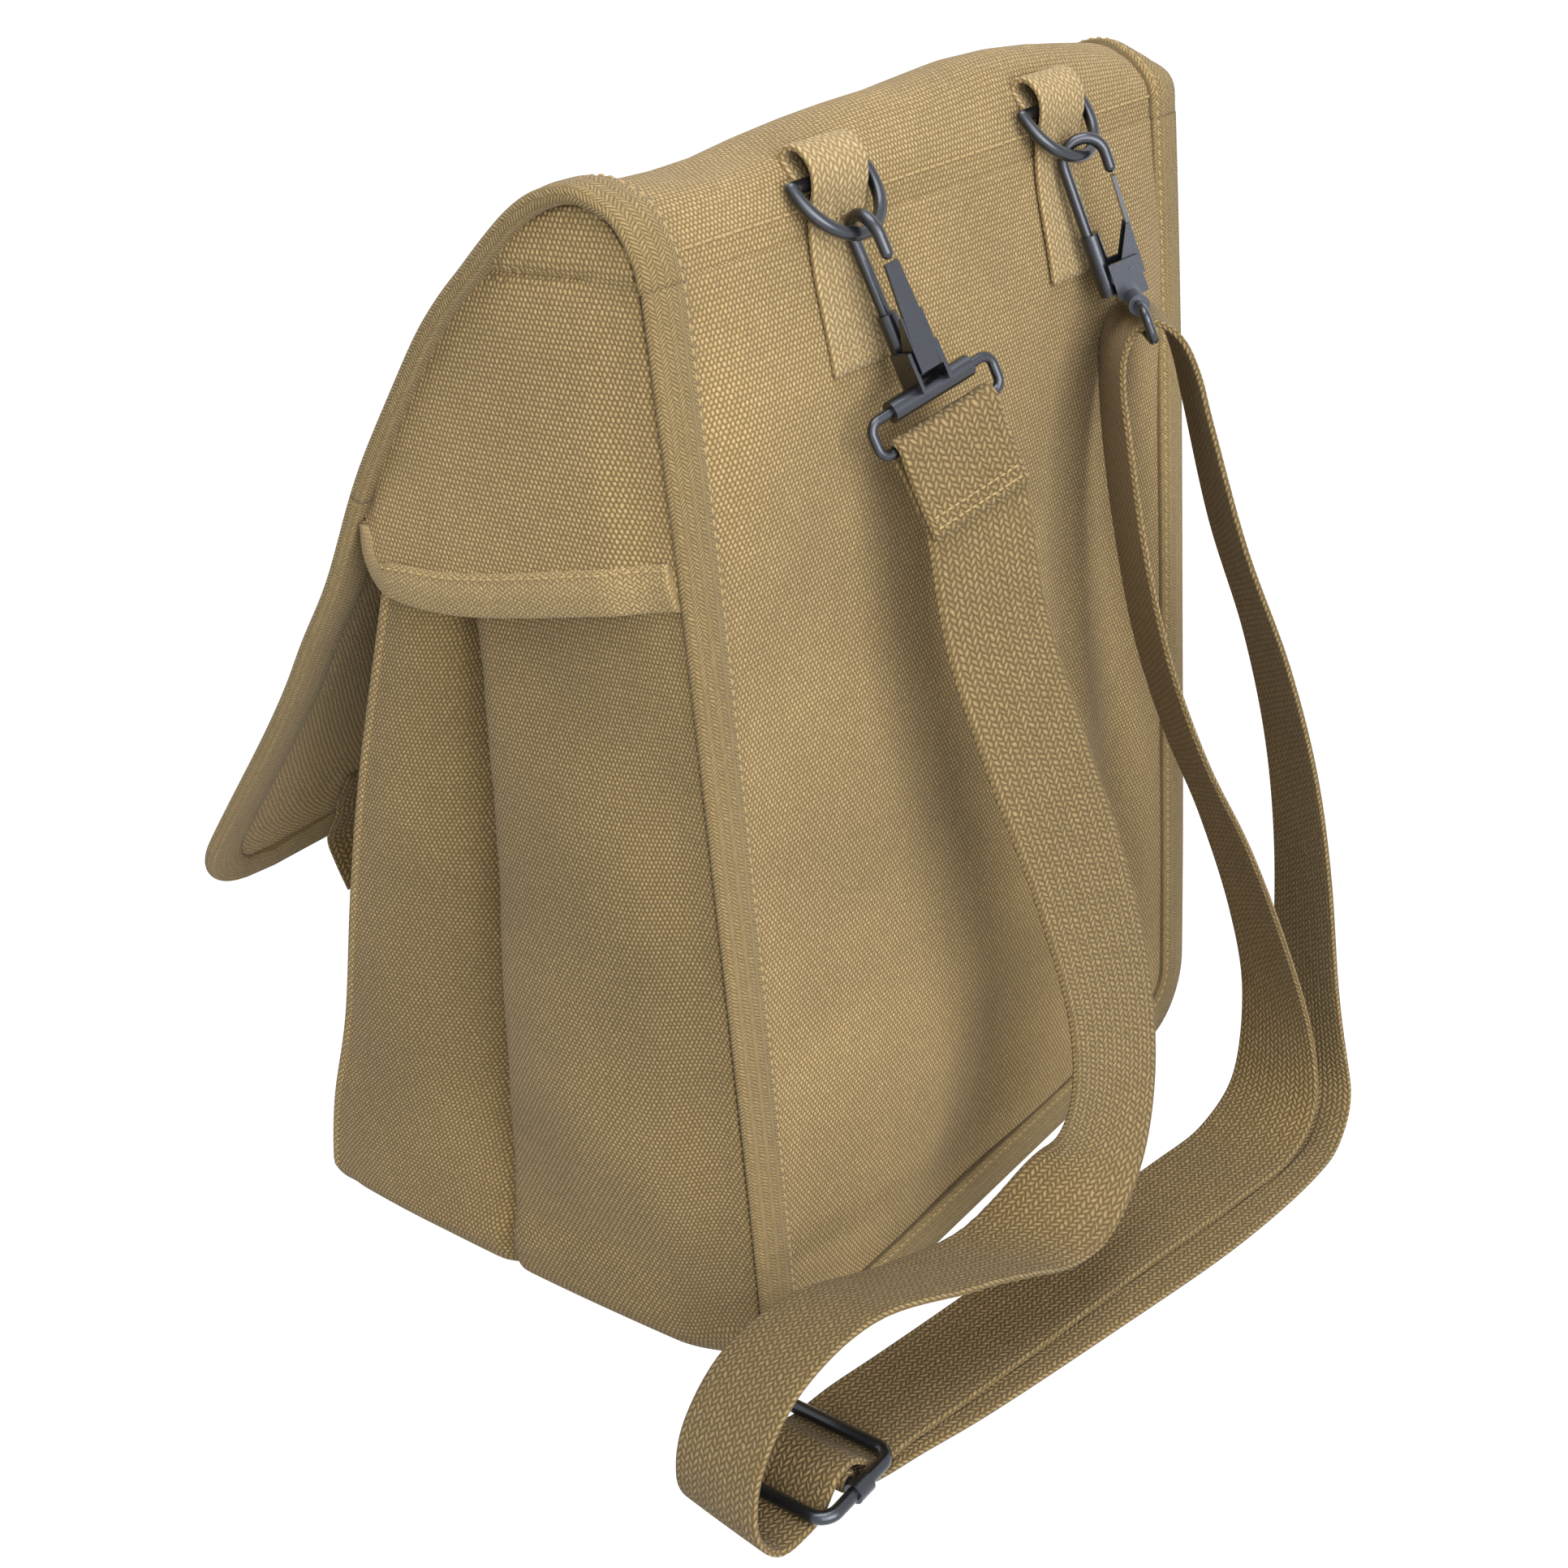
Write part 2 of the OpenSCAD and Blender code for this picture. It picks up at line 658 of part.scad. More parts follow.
back_panel();
front_panel();
bottom_panel();
divider();
mirror([1, 0, 0]) gusset();  // gusset_left
gusset();  // gusset_right
back_binding();
ear(-1);  // ear_left
ear(1);  // ear_right
ear_hem(-1);  // ear_hem_left
ear_hem(1);  // ear_hem_right
flap_yoke();
flap_upper();
flap_lower();
flap_edge(-1);  // flap_edge_left
flap_edge(1);  // flap_edge_right
flap_hem();
tab(-1);  // tab_left
tab(1);  // tab_right
ring(-1);  // ring_left
ring(1);  // ring_right
place(left_hook) hook();  // hook_left
place(right_hook) hook();  // hook_right
place(left_hook) hook_base();  // hook_base_left
place(right_hook) hook_base();  // hook_base_right
place(left_hook) gate();  // gate_left
place(right_hook) gate();  // gate_right
place(left_hook) gate_pin();  // gate_pin_left
place(right_hook) gate_pin();  // gate_pin_right
place(left_hook) wire_loop();  // loop_left
place(right_hook) wire_loop();  // loop_right
strap_eye();
strap();
strap_end();
slider_frame();
slider_bar();
closure_strap(-1);  // closure_strap_left
closure_strap(1);  // closure_strap_right
chape(-1);  // chape_left
chape(1);  // chape_right
buckle(-1);  // buckle_left
buckle(1);  // buckle_right
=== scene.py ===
import bmesh
import bpy
import math
import numpy as np
from mathutils import Matrix, Vector


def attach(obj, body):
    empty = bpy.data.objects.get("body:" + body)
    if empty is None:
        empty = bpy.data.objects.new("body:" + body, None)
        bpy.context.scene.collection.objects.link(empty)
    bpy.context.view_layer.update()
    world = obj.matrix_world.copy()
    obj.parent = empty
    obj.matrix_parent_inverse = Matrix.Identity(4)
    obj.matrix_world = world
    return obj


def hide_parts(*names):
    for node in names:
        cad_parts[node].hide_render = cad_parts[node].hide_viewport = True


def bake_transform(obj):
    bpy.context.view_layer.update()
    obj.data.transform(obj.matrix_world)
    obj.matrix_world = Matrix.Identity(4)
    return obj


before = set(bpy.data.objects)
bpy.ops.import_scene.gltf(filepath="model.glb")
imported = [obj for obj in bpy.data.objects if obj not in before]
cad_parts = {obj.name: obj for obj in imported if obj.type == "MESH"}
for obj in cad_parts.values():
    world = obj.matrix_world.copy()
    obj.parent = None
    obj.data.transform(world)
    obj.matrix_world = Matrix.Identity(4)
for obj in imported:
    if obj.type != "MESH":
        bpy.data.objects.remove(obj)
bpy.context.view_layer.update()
mm = 0.001

# view
cameraSet = {"azimuth": 130.107, "elevation": 25.671, "roll": -5.184, "lens": 48.02,
             "place": (0.54123, 0.47686, 0.48804)}


def makeCamera(s):
    a, e, r = (math.radians(s[k]) for k in ("azimuth", "elevation", "roll"))
    back = Vector((math.sin(a) * math.cos(e), -math.cos(a) * math.cos(e), math.sin(e)))
    right = (-back).cross(Vector((0, 0, 1))).normalized()
    up = right.cross(-back)
    across = math.cos(r) * right + math.sin(r) * up
    upward = -math.sin(r) * right + math.cos(r) * up
    data = bpy.data.cameras.new("camera")
    data.lens, data.sensor_width, data.clip_start = s["lens"], 36, 0.01
    cam = bpy.data.objects.new("camera", data)
    cam.matrix_world = Matrix.Translation(s["place"]) @ Matrix((across, upward, back)).transposed().to_4x4()
    bpy.context.scene.collection.objects.link(cam)
    bpy.context.scene.camera = cam


makeCamera(cameraSet)
bpy.context.scene.view_settings.view_transform = "Standard"
print("camera set")


# shader helpers
class Wire:  # one output socket, so that shader maths can be written as it is on paper
    def __init__(self, shader, socket):
        self.shader, self.socket = shader, socket

    def __add__(self, other):
        return self.shader.calc("ADD", self, other)

    def __sub__(self, other):
        return self.shader.calc("SUBTRACT", self, other)

    def __rsub__(self, other):
        return self.shader.calc("SUBTRACT", other, self)

    def __mul__(self, other):
        return self.shader.calc("MULTIPLY", self, other)

    def __pow__(self, other):
        return self.shader.calc("POWER", self, other)

    __radd__, __rmul__ = __add__, __mul__


class Shader:  # a material and its nodes
    def __init__(self, name):
        self.material = bpy.data.materials.new(name)
        self.material.use_nodes = True
        self.tree = self.material.node_tree
        self.tree.nodes.clear()

    def node(self, kind, settings={}, values={}, output=0):
        n = self.tree.nodes.new("ShaderNode" + kind)
        for key, value in settings.items():
            if key == "stops":
                while len(n.color_ramp.elements) < len(value):
                    n.color_ramp.elements.new(0.5)
                for element, (place, tone) in zip(n.color_ramp.elements, value):
                    element.position, element.color = place, (tone, tone, tone, 1)
            else:
                setattr(n, key, value)
        for key, value in values.items():
            if isinstance(value, Wire):
                self.tree.links.new(value.socket, n.inputs[key])
            else:
                n.inputs[key].default_value = value
        return Wire(self, n.outputs[output])

    def calc(self, operation, *values):
        return self.node("Math", {"operation": operation}, dict(enumerate(values)))

    def blendColour(self, kind, factor, first, second):
        return self.node("Mix", {"data_type": "RGBA", "blend_type": kind, "clamp_result": False},
                         {0: factor, 6: first, 7: second}, 2)

    def finish(self, surface):
        out = self.tree.nodes.new("ShaderNodeOutputMaterial")
        self.tree.links.new(surface.socket, out.inputs[0])
        return self.material


def colour(red, green, blue):  # screen values 0-255 to a linear colour
    def linear(c):
        c /= 255
        return c / 12.92 if c <= 0.04045 else ((c + 0.055) / 1.055) ** 2.4
    return (linear(red), linear(green), linear(blue), 1)


# cloth materials
# pitch: mm between lines of thread and between a line's beads; relief in metres; tone, deep: the colour on
# the beads' tops and in the gaps between them, the gaps' dark being painted shade
plainWeave = {"pitch": (1.5, 1.7), "rows": True, "slant": 0.0, "dot": (0.75, 1.5), "relief": 0.00050,
              "fuzz": 0.30, "mottle": 0.14, "even": 0.4}
webWeave = {"pitch": (2.0, 2.3), "rows": False, "slant": 0.7, "dot": (0.9, 1.2), "fuzz": 0.35, "mottle": 0.08}
tapeWeave = {"relief": 0.00034, "fuzz": 0.6, "mottle": 0.08, "even": 0.5}
clothSet = {
    "canvas": {**plainWeave, "tone": colour(206, 179, 128), "deep": colour(106, 85, 47)},
    # the ears' canvas is the same canvas painted lighter: painted light on the ears, which face up towards
    # the lamps
    "earLitCanvas": {**plainWeave, "tone": colour(215, 187, 134), "deep": colour(112, 90, 50)},
    # the gussets' canvas is the same canvas painted darker: painted shade on the sides below the ears
    "gussetShadedCanvas": {**plainWeave, "tone": colour(190, 164, 115), "deep": colour(94, 75, 41)},
    "tape": {**tapeWeave, "pitch": (2.1, 1.25), "rows": False, "slant": 1.3, "dot": (0.35, 1.3),
             "tone": colour(172, 150, 106), "deep": colour(96, 77, 43)},
    # the ear hems' tape is painted lighter than the flap's tape: painted light on hems that face up
    "earLitTape": {**tapeWeave, "pitch": (1.5, 1.5), "rows": True, "slant": 0.6, "dot": (0.6, 1.3),
                "tone": colour(206, 181, 132), "deep": colour(122, 100, 62)},
    "tabWebbing": {**webWeave, "relief": 0.00060, "even": 0.45, "tone": colour(212, 187, 140),
                   "deep": colour(128, 106, 66)},
    "webbing": {**webWeave, "relief": 0.00070, "even": 0.4, "tone": colour(174, 151, 107),
                "deep": colour(90, 72, 41)},
}
# scale and detail of the noises: the threads' wobble, the slow mottle and the fuzz
noiseSet = ((330, 2), (14, 4), (1700, 3))


def makeCloth(name, s):
    sh = Shader(name)
    place = sh.node("UVMap", {"uv_map": "cloth"})
    uv = sh.node("SeparateXYZ", {}, {0: place}).socket.node
    u, v = Wire(sh, uv.outputs[0]), Wire(sh, uv.outputs[1])
    wobble, slow, fuzz = (
        sh.node("TexNoise", {"noise_dimensions": "2D"}, {"Vector": place, "Scale": scale, "Detail": detail})
        for scale, detail in noiseSet)
    # lines of beads, each line half a bead on from the one before it
    across, along = (v, u) if s["rows"] else (u, v)
    a = across * (1000 / s["pitch"][0]) + (wobble - 0.5) * 0.5
    line = sh.calc("FLOOR", a)
    odd = sh.calc("MODULO", sh.calc("ABSOLUTE", line), 2.0)
    fa = a - line
    b = along * (1000 / s["pitch"][1]) + (wobble - 0.5) * 0.5 + odd * 0.5 \
        + (fa - 0.5) * (odd * 2 - 1) * s["slant"]
    bead = sh.calc("FLOOR", b)
    fb = b - bead
    across2, along2 = (fa * 2 - 1) ** 2, (fb * 2 - 1) ** 2
    height = sh.calc("MAXIMUM", 1 - across2 * s["dot"][0] - along2 * s["dot"][1], 0.0)
    cell = sh.node("CombineXYZ", {}, {0: line, 1: bead})
    chance = sh.node("TexWhiteNoise", {"noise_dimensions": "2D"}, {"Vector": cell})
    grain = (fuzz - 0.5) * s["fuzz"]
    # the gaps between beads are painted darker than their tops, a painted shade in the weave's hollows on top
    # of the bump; each bead's random tone and the fuzz are the cloth's own
    shade = height * (0.62 + chance * 0.3) * (1 - s["even"] * 0.35) + s["even"] * 0.3 + grain
    base = sh.blendColour("MIX", sh.node("Clamp", {}, {0: shade}), s["deep"], s["tone"])
    mottle = sh.node("ValToRGB", {"stops": [(0.3, 1 - s["mottle"]), (0.7, 1 + s["mottle"] * 0.4)]}, {0: slow})
    base = sh.blendColour("MULTIPLY", 1.0, base, mottle)
    bump = sh.node("Bump", {}, {"Strength": 0.8, "Distance": s["relief"], "Height": height + grain * 0.7})
    surface = sh.node("BsdfPrincipled", {}, {
        "Base Color": base, "Normal": bump, "Roughness": 0.92, "Specular IOR Level": 0.15,
        "Sheen Weight": 0.12, "Sheen Roughness": 0.5})
    return sh.finish(surface)


cloth = {name: makeCloth(name, s) for name, s in clothSet.items()}

# thread and metal
threadSet = {"tone": colour(198, 174, 128), "deep": colour(142, 120, 80), "scale": 900}


def makeThread(s):
    sh = Shader("thread")
    grain = sh.node("TexNoise", {}, {"Scale": s["scale"], "Detail": 2})
    base = sh.blendColour("MIX", grain, s["deep"], s["tone"])
    return sh.finish(sh.node("BsdfPrincipled", {}, {"Base Color": base, "Roughness": 0.85,
                                                    "Specular IOR Level": 0.2}))


metalSet = {"tone": colour(60, 63, 70), "worn": colour(104, 107, 114), "grain": 700, "patch": 60}


def makeMetal(s):
    sh = Shader("gunmetal")
    grain = sh.node("TexNoise", {}, {"Scale": s["grain"], "Detail": 3})
    patch = sh.node("TexNoise", {}, {"Scale": s["patch"], "Detail": 4})
    worn = sh.node("ValToRGB", {"stops": [(0.6, 0.0), (0.78, 0.5)]}, {0: patch * 0.7 + grain * 0.3})
    base = sh.blendColour("MIX", sh.node("RGBToBW", {}, {0: worn}), s["tone"], s["worn"])
    bump = sh.node("Bump", {}, {"Strength": 0.25, "Distance": 0.00008, "Height": grain})
    return sh.finish(sh.node("BsdfPrincipled", {}, {
        "Base Color": base, "Normal": bump, "Roughness": patch * 0.2 + 0.2, "Metallic": 0.9,
        "Coat Weight": 0.6, "Coat Roughness": 0.14}))


thread, metal = makeThread(threadSet), makeMetal(metalSet)
print("materials made")


# mesh helpers (lengths in mm)
def curveThrough(points, per=8):  # smooth line through points, per steps between two
    p = np.array(points, float)
    q = np.vstack([2 * p[0] - p[1], p, 2 * p[-1] - p[-2]])
    out = []
    for i in range(len(p) - 1):
        a, b, c, d = q[i:i + 4]
        for k in range(per):
            t = k / per
            out.append(0.5 * (2 * b + (c - a) * t + (2 * a - 5 * b + 4 * c - d) * t * t
                              + (3 * b - a - 3 * c + d) * t ** 3))
    out.append(p[-1])
    return np.array(out)


def distances(line):  # along it, from its first point
    return np.r_[0, np.cumsum(np.linalg.norm(np.diff(line, axis=0), axis=1))]


def unit(v):  # each row scaled to a length of one
    return v / np.linalg.norm(v, axis=-1, keepdims=True)


def resampled(points, count):
    p = np.array(points, float)
    s = distances(p)
    t = np.linspace(0, s[-1], count)
    return np.stack([np.interp(t, s, p[:, k]) for k in range(p.shape[1])], 1)


def ramp(x, low, high):  # 0 below low, 1 above high, smooth between
    t = np.clip((np.asarray(x, float) - low) / (high - low), 0, 1)
    return t * t * (3 - 2 * t)


def bell(x, middle, width):
    return np.exp(-((np.asarray(x, float) - middle) / width) ** 2)


def normalsOf(grid):
    du = np.gradient(grid, axis=1)
    dv = np.gradient(grid, axis=0)
    n = np.cross(du, dv)
    return n / np.maximum(np.linalg.norm(n, axis=2, keepdims=True), 1e-9)


def addMesh(name, points, faces, material, uvs=None):
    mesh = bpy.data.meshes.new(name)
    mesh.from_pydata([tuple(p) for p in np.asarray(points) * mm], [], faces)
    mesh.materials.append(material)
    solid = bmesh.new()
    solid.from_mesh(mesh)
    if solid.calc_volume(signed=True) < 0:  # faces look outwards
        mesh.flip_normals()
    solid.free()
    if uvs is not None:
        layer = mesh.uv_layers.new(name="cloth")
        loops = np.empty(len(mesh.loops), int)
        mesh.loops.foreach_get("vertex_index", loops)
        layer.data.foreach_set("uv", (np.asarray(uvs)[loops] * mm).ravel())
    mesh.polygons.foreach_set("use_smooth", [True] * len(mesh.polygons))
    mesh.update()
    obj = bpy.data.objects.new(name, mesh)
    bpy.context.scene.collection.objects.link(obj)
    return obj


def flatUv(grid, start=(0, 0)):  # distances along the cloth, across and down
    across = np.linalg.norm(np.diff(grid, axis=1), axis=2).mean(0)
    down = np.linalg.norm(np.diff(grid, axis=0), axis=2).mean(1)
    u, v = np.r_[0, np.cumsum(across)] + start[0], np.r_[0, np.cumsum(down)] + start[1]
    return np.stack(np.meshgrid(u, v), -1)


def shell(name, grid, thick, material, facing=1, start=(0, 0), normals=None, uv=None):
    # a closed sheet: grid is its outer face, thick goes inwards
    rows, cols = grid.shape[:2]
    n = (normalsOf(grid) if normals is None else normals) * facing
    uv = (flatUv(grid, start) if uv is None else uv).reshape(-1, 2)
    points = np.vstack([grid.reshape(-1, 3), (grid - n * thick).reshape(-1, 3)])
    uvs = np.vstack([uv, uv])
    base = rows * cols
    index = np.arange(base).reshape(rows, cols)
    quads = np.stack([index[:-1, :-1], index[:-1, 1:], index[1:, 1:], index[1:, :-1]], -1).reshape(-1, 4)
    rim = np.r_[index[0, :], index[1:, -1], index[-1, -2::-1], index[-2:0:-1, 0]]
    nxt = np.roll(rim, -1)
    sides = np.stack([nxt, rim, rim + base, nxt + base], -1)
    faces = np.vstack([quads, quads[:, ::-1] + base, sides])
    if facing < 0:
        faces = faces[:, ::-1]
    obj = addMesh(name, points, faces.tolist(), material, uvs)
    sharp = np.zeros(len(obj.data.polygons), bool)
    sharp[len(quads) * 2:] = True
    obj.data.polygons.foreach_set("use_smooth", ~sharp)
    return obj


def tubeFaces(rings, sides):  # faces between neighbouring rings of points, and one on each end
    index = np.arange(rings * sides).reshape(rings, sides)
    right = np.roll(index, -1, axis=1)
    quads = np.stack([index[:-1], right[:-1], right[1:], index[1:]], -1).reshape(-1, 4)
    return quads.tolist() + [index[0, ::-1].tolist(), index[-1].tolist()]


def sweep(name, centres, across, profile, material):
    # profile: closed outline as (side, out) pairs carried along the line
    c, w = np.asarray(centres, float), np.asarray(across, float)
    t = unit(np.gradient(c, axis=0))
    w = unit(w - t * (w * t).sum(1, keepdims=True))
    n = np.cross(t, w)
    q = np.asarray(profile, float)
    grid = c[:, None] + q[None, :, :1] * w[:, None] + q[None, :, 1:] * n[:, None]
    rows, cols = grid.shape[:2]
    girth, along = distances(np.vstack([q, q[:1]])), distances(c)
    obj = addMesh(name, grid.reshape(-1, 3), tubeFaces(rows, cols), material)
    layer = obj.data.uv_layers.new(name="cloth")
    uv = []
    for face in obj.data.polygons:
        cs = [v % cols for v in face.vertices]
        wrap = max(cs) - min(cs) > cols / 2 and len(cs) == 4
        for v in face.vertices:
            k = v % cols
            uv.append((girth[k + (cols if wrap and k < cols / 2 else 0)] * mm, along[v // cols] * mm))
    layer.data.foreach_set("uv", np.array(uv).ravel())
    for end in (-1, -2):
        obj.data.polygons[end].use_smooth = False
    return obj


def strapProfile(width, thick, cells=10, crown=0.0):  # flat webbing with soft edges
    h, e = thick / 2, min(thick / 2, 1.1)
    side = width / 2
    flat = np.linspace(-side + e, side - e, cells + 1)
    top = [(x, h + crown * (1 - (x / side) ** 2)) for x in flat]
    low = [(x, -h + crown * (1 - (x / side) ** 2)) for x in flat[::-1]]
    right = [(side - e + e * math.cos(a), h * math.sin(a)) for a in np.radians([60, 30, 0, -30, -60])]
    left = [(-side + e - e * math.cos(a), -h * math.sin(a)) for a in np.radians([60, 30, 0, -30, -60])]
    return (top + right + low + left)[::-1]


def flatStrap(name, x, line, width, thick, material):  # webbing that lies square to x, line as (y, z)
    c = np.stack([np.full(len(line), x), line[:, 0], line[:, 1]], 1)
    return sweep(name, c, np.tile([1.0, 0, 0], (len(c), 1)), strapProfile(width, thick, 8), material)


# a bead's rings: place along half its length, then size and rise as shares of its radius
beadRings = ((-1, 0.25, -0.35), (-0.7, 0.85, 0.05), (0, 1, 0.28), (0.7, 0.85, 0.05), (1, 0.25, -0.35))
beadSides = 6
stitchSet = {"pitch": 3.4, "length": 2.3, "radius": 0.42}
tightSet = {"pitch": 2.6, "length": 1.9, "radius": 0.36}


def stitches(name, line, normal, spec):
    # a row of raised thread beads along a line
    s = distances(line)
    count = max(2, int(s[-1] / spec["pitch"]))
    at = (np.arange(count) + 0.5) * s[-1] / count

    def sample(values, t):
        return np.stack([np.interp(t, s, values[:, k]) for k in range(3)], 1)

    half = spec["length"] / 2
    nrm = unit(sample(normal, at))
    tan = unit(sample(line, np.minimum(at + 0.5, s[-1])) - sample(line, np.maximum(at - 0.5, 0)))
    side = np.cross(nrm, tan)
    points = []
    for ring, size, rise in beadRings:
        centre = sample(line, at + ring * half) + nrm * (rise * spec["radius"])
        for k in range(beadSides):
            a = k * math.tau / beadSides
            points.append(centre + size * spec["radius"] * (math.cos(a) * side + math.sin(a) * nrm))
    each, bead = len(points), tubeFaces(len(beadRings), beadSides)
    faces = [[first + k for k in face] for first in range(0, count * each, each) for face in bead]
    return addMesh(name, np.stack(points, 1).reshape(-1, 3), faces, thread)


def edgeTape(name, edge, inward, normal, s, material=None):
    # tape folded round a cloth edge; up, down, past: how far it stands out, in and past that edge
    w, up, down, past, puff = (s[k] for k in ("width", "up", "down", "past", "puff"))
    mid = (up - down) / 2
    tall = (up + down) / 2
    arc = [(-past * math.cos(a), mid + tall * math.sin(a)) for a in np.radians(np.linspace(75, -75, 9))]
    top = [(w, up - 0.9), (w - 0.5, up - 0.25), (w - 2, up), (w * 0.6, up + puff), (w * 0.3, up + puff * 0.8),
           (1.6, up - 0.05)]
    low = [(1.6, -down + 0.05), (w * 0.5, -down - puff * 0.5), (w - 1.5, -down), (w, -down + 0.8)]
    q = np.array(top + arc + low)
    e, i, n = (np.asarray(x, float) for x in (edge, inward, normal))
    lift = np.repeat(q[None, :, 1:], len(e), 0)
    if "sink" in s:
        lift = np.where(lift < 0, lift * np.asarray(s["sink"])[:, None, None], lift)
    fit = np.broadcast_to(s.get("fit", 1.0), len(e))[:, None, None]
    grid = e[:, None] + q[None, :, :1] * fit * i[:, None] + lift * (0.4 + 0.6 * fit) * n[:, None]
    uv = np.stack(np.meshgrid(distances(q), distances(e)), -1).reshape(-1, 2)
    return addMesh(name, grid.reshape(-1, 3), tubeFaces(len(e), len(q)), material or cloth["tape"], uv)


def seamLine(edge, inward, normal, s, fit=1.0):  # where the stitches run on an edge tape
    return edge + inward * (s["width"] * fit - s["seam"]) + normal * (s["up"] + 0.05)


def settle(obj, body, slot, *nodes):
    if isinstance(body, str):
        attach(obj, body)
    else:
        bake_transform(obj)
    if nodes:
        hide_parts(*nodes)
    return obj


# the two soft hinges of the flap
crestHinge = ("bag", "flap_upper", (0, 0.102, 0.3984), (0, 0.074, 0.3984))
bendHinge = ("flap_upper", "flap_lower", (0, -0.0405, 0.2725), (0, -0.0535, 0.2515))

# side profiles, (y, z)
backLine = curveThrough([(110, 2.6), (110.6, 90), (110.3, 180), (109.8, 270), (108.6, 330), (107.4, 371)], 12)
flapLine = curveThrough([(107.4, 370), (106.6, 379), (103.2, 387), (97, 394.2), (88, 398.2), (74, 395.6),
                         (58, 388.6), (40, 377), (20, 359), (2, 338), (-18, 312), (-33, 288), (-47, 262),
                         (-66, 233), (-92, 194), (-112, 164), (-131, 136)], 10)
halfWidth, flapHalf = 140, 142.6
bothSides = ((1, "Right"), (-1, "Left"))
frontLine = curveThrough([(-92, 2.4), (-101, 3.6), (-106, 8), (-107, 16), (-98, 48), (-81, 90), (-64, 146),
                          (-46, 198), (-20, 262), (-6, 300)], 6)

# back panel
backSet = {"radius": 27, "rows": 130, "cols": 90, "thick": 1.5, "foot": 2.6, "top": 371}
# folds: how deep, middle and reach across, lean, middle and reach upwards
backFolds = [(3.0, -89.5, 16, 0.05, 120, 90), (1.8, -58, 13, 0, 170, 110), (-1.0, -72, 9, 0, 140, 100),
             (1.2, 90, 30, 0, 230, 60), (1.6, 10, 26, -0.6, 40, 50)]


def halfAt(z, s):  # half width of the panel with its rounded lower corners
    d = np.clip(s["foot"] + s["radius"] - z, 0, s["radius"])
    return halfWidth - s["radius"] + np.sqrt(s["radius"] ** 2 - d ** 2)


def backRelief(x, z):  # how far the cloth is pushed in: slow waves, the swell at the top and the folds
    r = 0.5 * np.sin(x * 0.045 + z * 0.021) * np.sin(z * 0.03 - x * 0.013) - 6.0 * bell(z, 322, 34)
    for deep, middle, wide, lean, up, tall in backFolds:
        r = r + deep * bell(x, middle + lean * (z - up), wide) * bell(z, up, tall)
    return r


def makeBack(s):
    z = np.r_[s["foot"] + s["radius"] * (1 - np.cos(np.linspace(0.06, 1, 18) * math.pi / 2)),
              np.linspace(s["foot"] + s["radius"] + 3, s["top"], s["rows"])]
    y = np.interp(z, backLine[:, 1], backLine[:, 0])
    u = np.linspace(-1, 1, s["cols"])
    x = u[None] * halfAt(z, s)[:, None]
    zz = np.repeat(z[:, None], s["cols"], 1)
    fade = ramp(1 - np.abs(u), 0.0, 0.25)[None]
    yy = y[:, None] - backRelief(x, zz) * fade
    return shell("backPanel", np.stack([x, yy, zz], -1), s["thick"], cloth["canvas"], facing=-1)


settle(makeBack(backSet), "bag", "canvas", "back_panel")

bindSet = {"width": 14.5, "up": 2.2, "down": 1.4, "past": 2.0, "puff": 0.9, "seam": 1.8, "middle": 190}


def outlinePath(s):  # the back panel's edge from the upper right round the bottom to the upper left
    flat, low = halfWidth - s["radius"], s["foot"] + s["radius"]
    side = np.linspace(s["top"] - 0.5, low, 70)
    turn = np.linspace(0, math.pi / 2, 14)[1:]
    path = [(halfWidth, z) for z in side]
    path += [(flat + s["radius"] * math.cos(a), low - s["radius"] * math.sin(a)) for a in turn]
    path += [(x, s["foot"]) for x in np.linspace(flat, -flat, 60)[1:]]
    path += [(-flat - s["radius"] * math.sin(a), low - s["radius"] * math.cos(a)) for a in turn]
    path += [(-halfWidth, z) for z in side[::-1][1:]]
    return resampled(path, 340)


def makeBinding(s):
    path = outlinePath(backSet)
    t = unit(np.gradient(path, axis=0))
    inner = np.stack([t[:, 1], 0 * t[:, 0], -t[:, 0]], 1)
    toMiddle = np.array([0, 0, s["middle"]]) - np.stack([path[:, 0], 0 * path[:, 0], path[:, 1]], 1)
    inner = inner * np.sign((inner * toMiddle).sum(1))[:, None]
    y = np.interp(path[:, 1], backLine[:, 1], backLine[:, 0])
    edge = np.stack([path[:, 0], y, path[:, 1]], 1)
    around = path[:, 1] + np.array([[-1], [1]])
    slope = np.diff(np.interp(around, backLine[:, 1], backLine[:, 0]), axis=0)[0]
    normal = unit(np.stack([0 * y, 1 + 0 * y, -slope / 2], 1))
    settle(edgeTape("backBinding", edge, inner, normal, s), "bag", "binding_tape", "back_binding")
    line = seamLine(edge, inner, normal, s)
    settle(stitches("backBindingStitch", line, normal, stitchSet), "bag", "binding_tape")


makeBinding(bindSet)
print("back made")

# flap; kick, drop: how far its corners swing out and down; corner: from and to across, and how far up
flapSet = {"rows": 190, "cols": 96, "thick": 1.6, "kick": 30, "drop": 19, "radius": 34, "split": 190,
           "corner": (40, 142, 125)}
crestRise = [(-143, -9.8), (-130, -4.9), (-120, -2.0), (-110, -0.4), (-100, 1.1), (-80, 3.8), (-60, 5.4),
             (-40, 5.4), (-20, 3.7), (0, 2.0), (20, 1.4), (40, 0.6), (60, -0.7), (80, -2.6), (100, -3.0),
             (120, -2.5), (143, -2.0)]


def cornerSwing(x, left, s):  # how far the hem's corners swing out and drop, left is the way up from the hem
    start, end, high = s["corner"]
    corner = ramp(np.abs(x), start, end) * (1 - ramp(left, 0, high))
    return -s["kick"] * corner * np.where(x > 0, 1, 0.55), -s["drop"] * corner * np.where(x > 0, 1, 0.4)


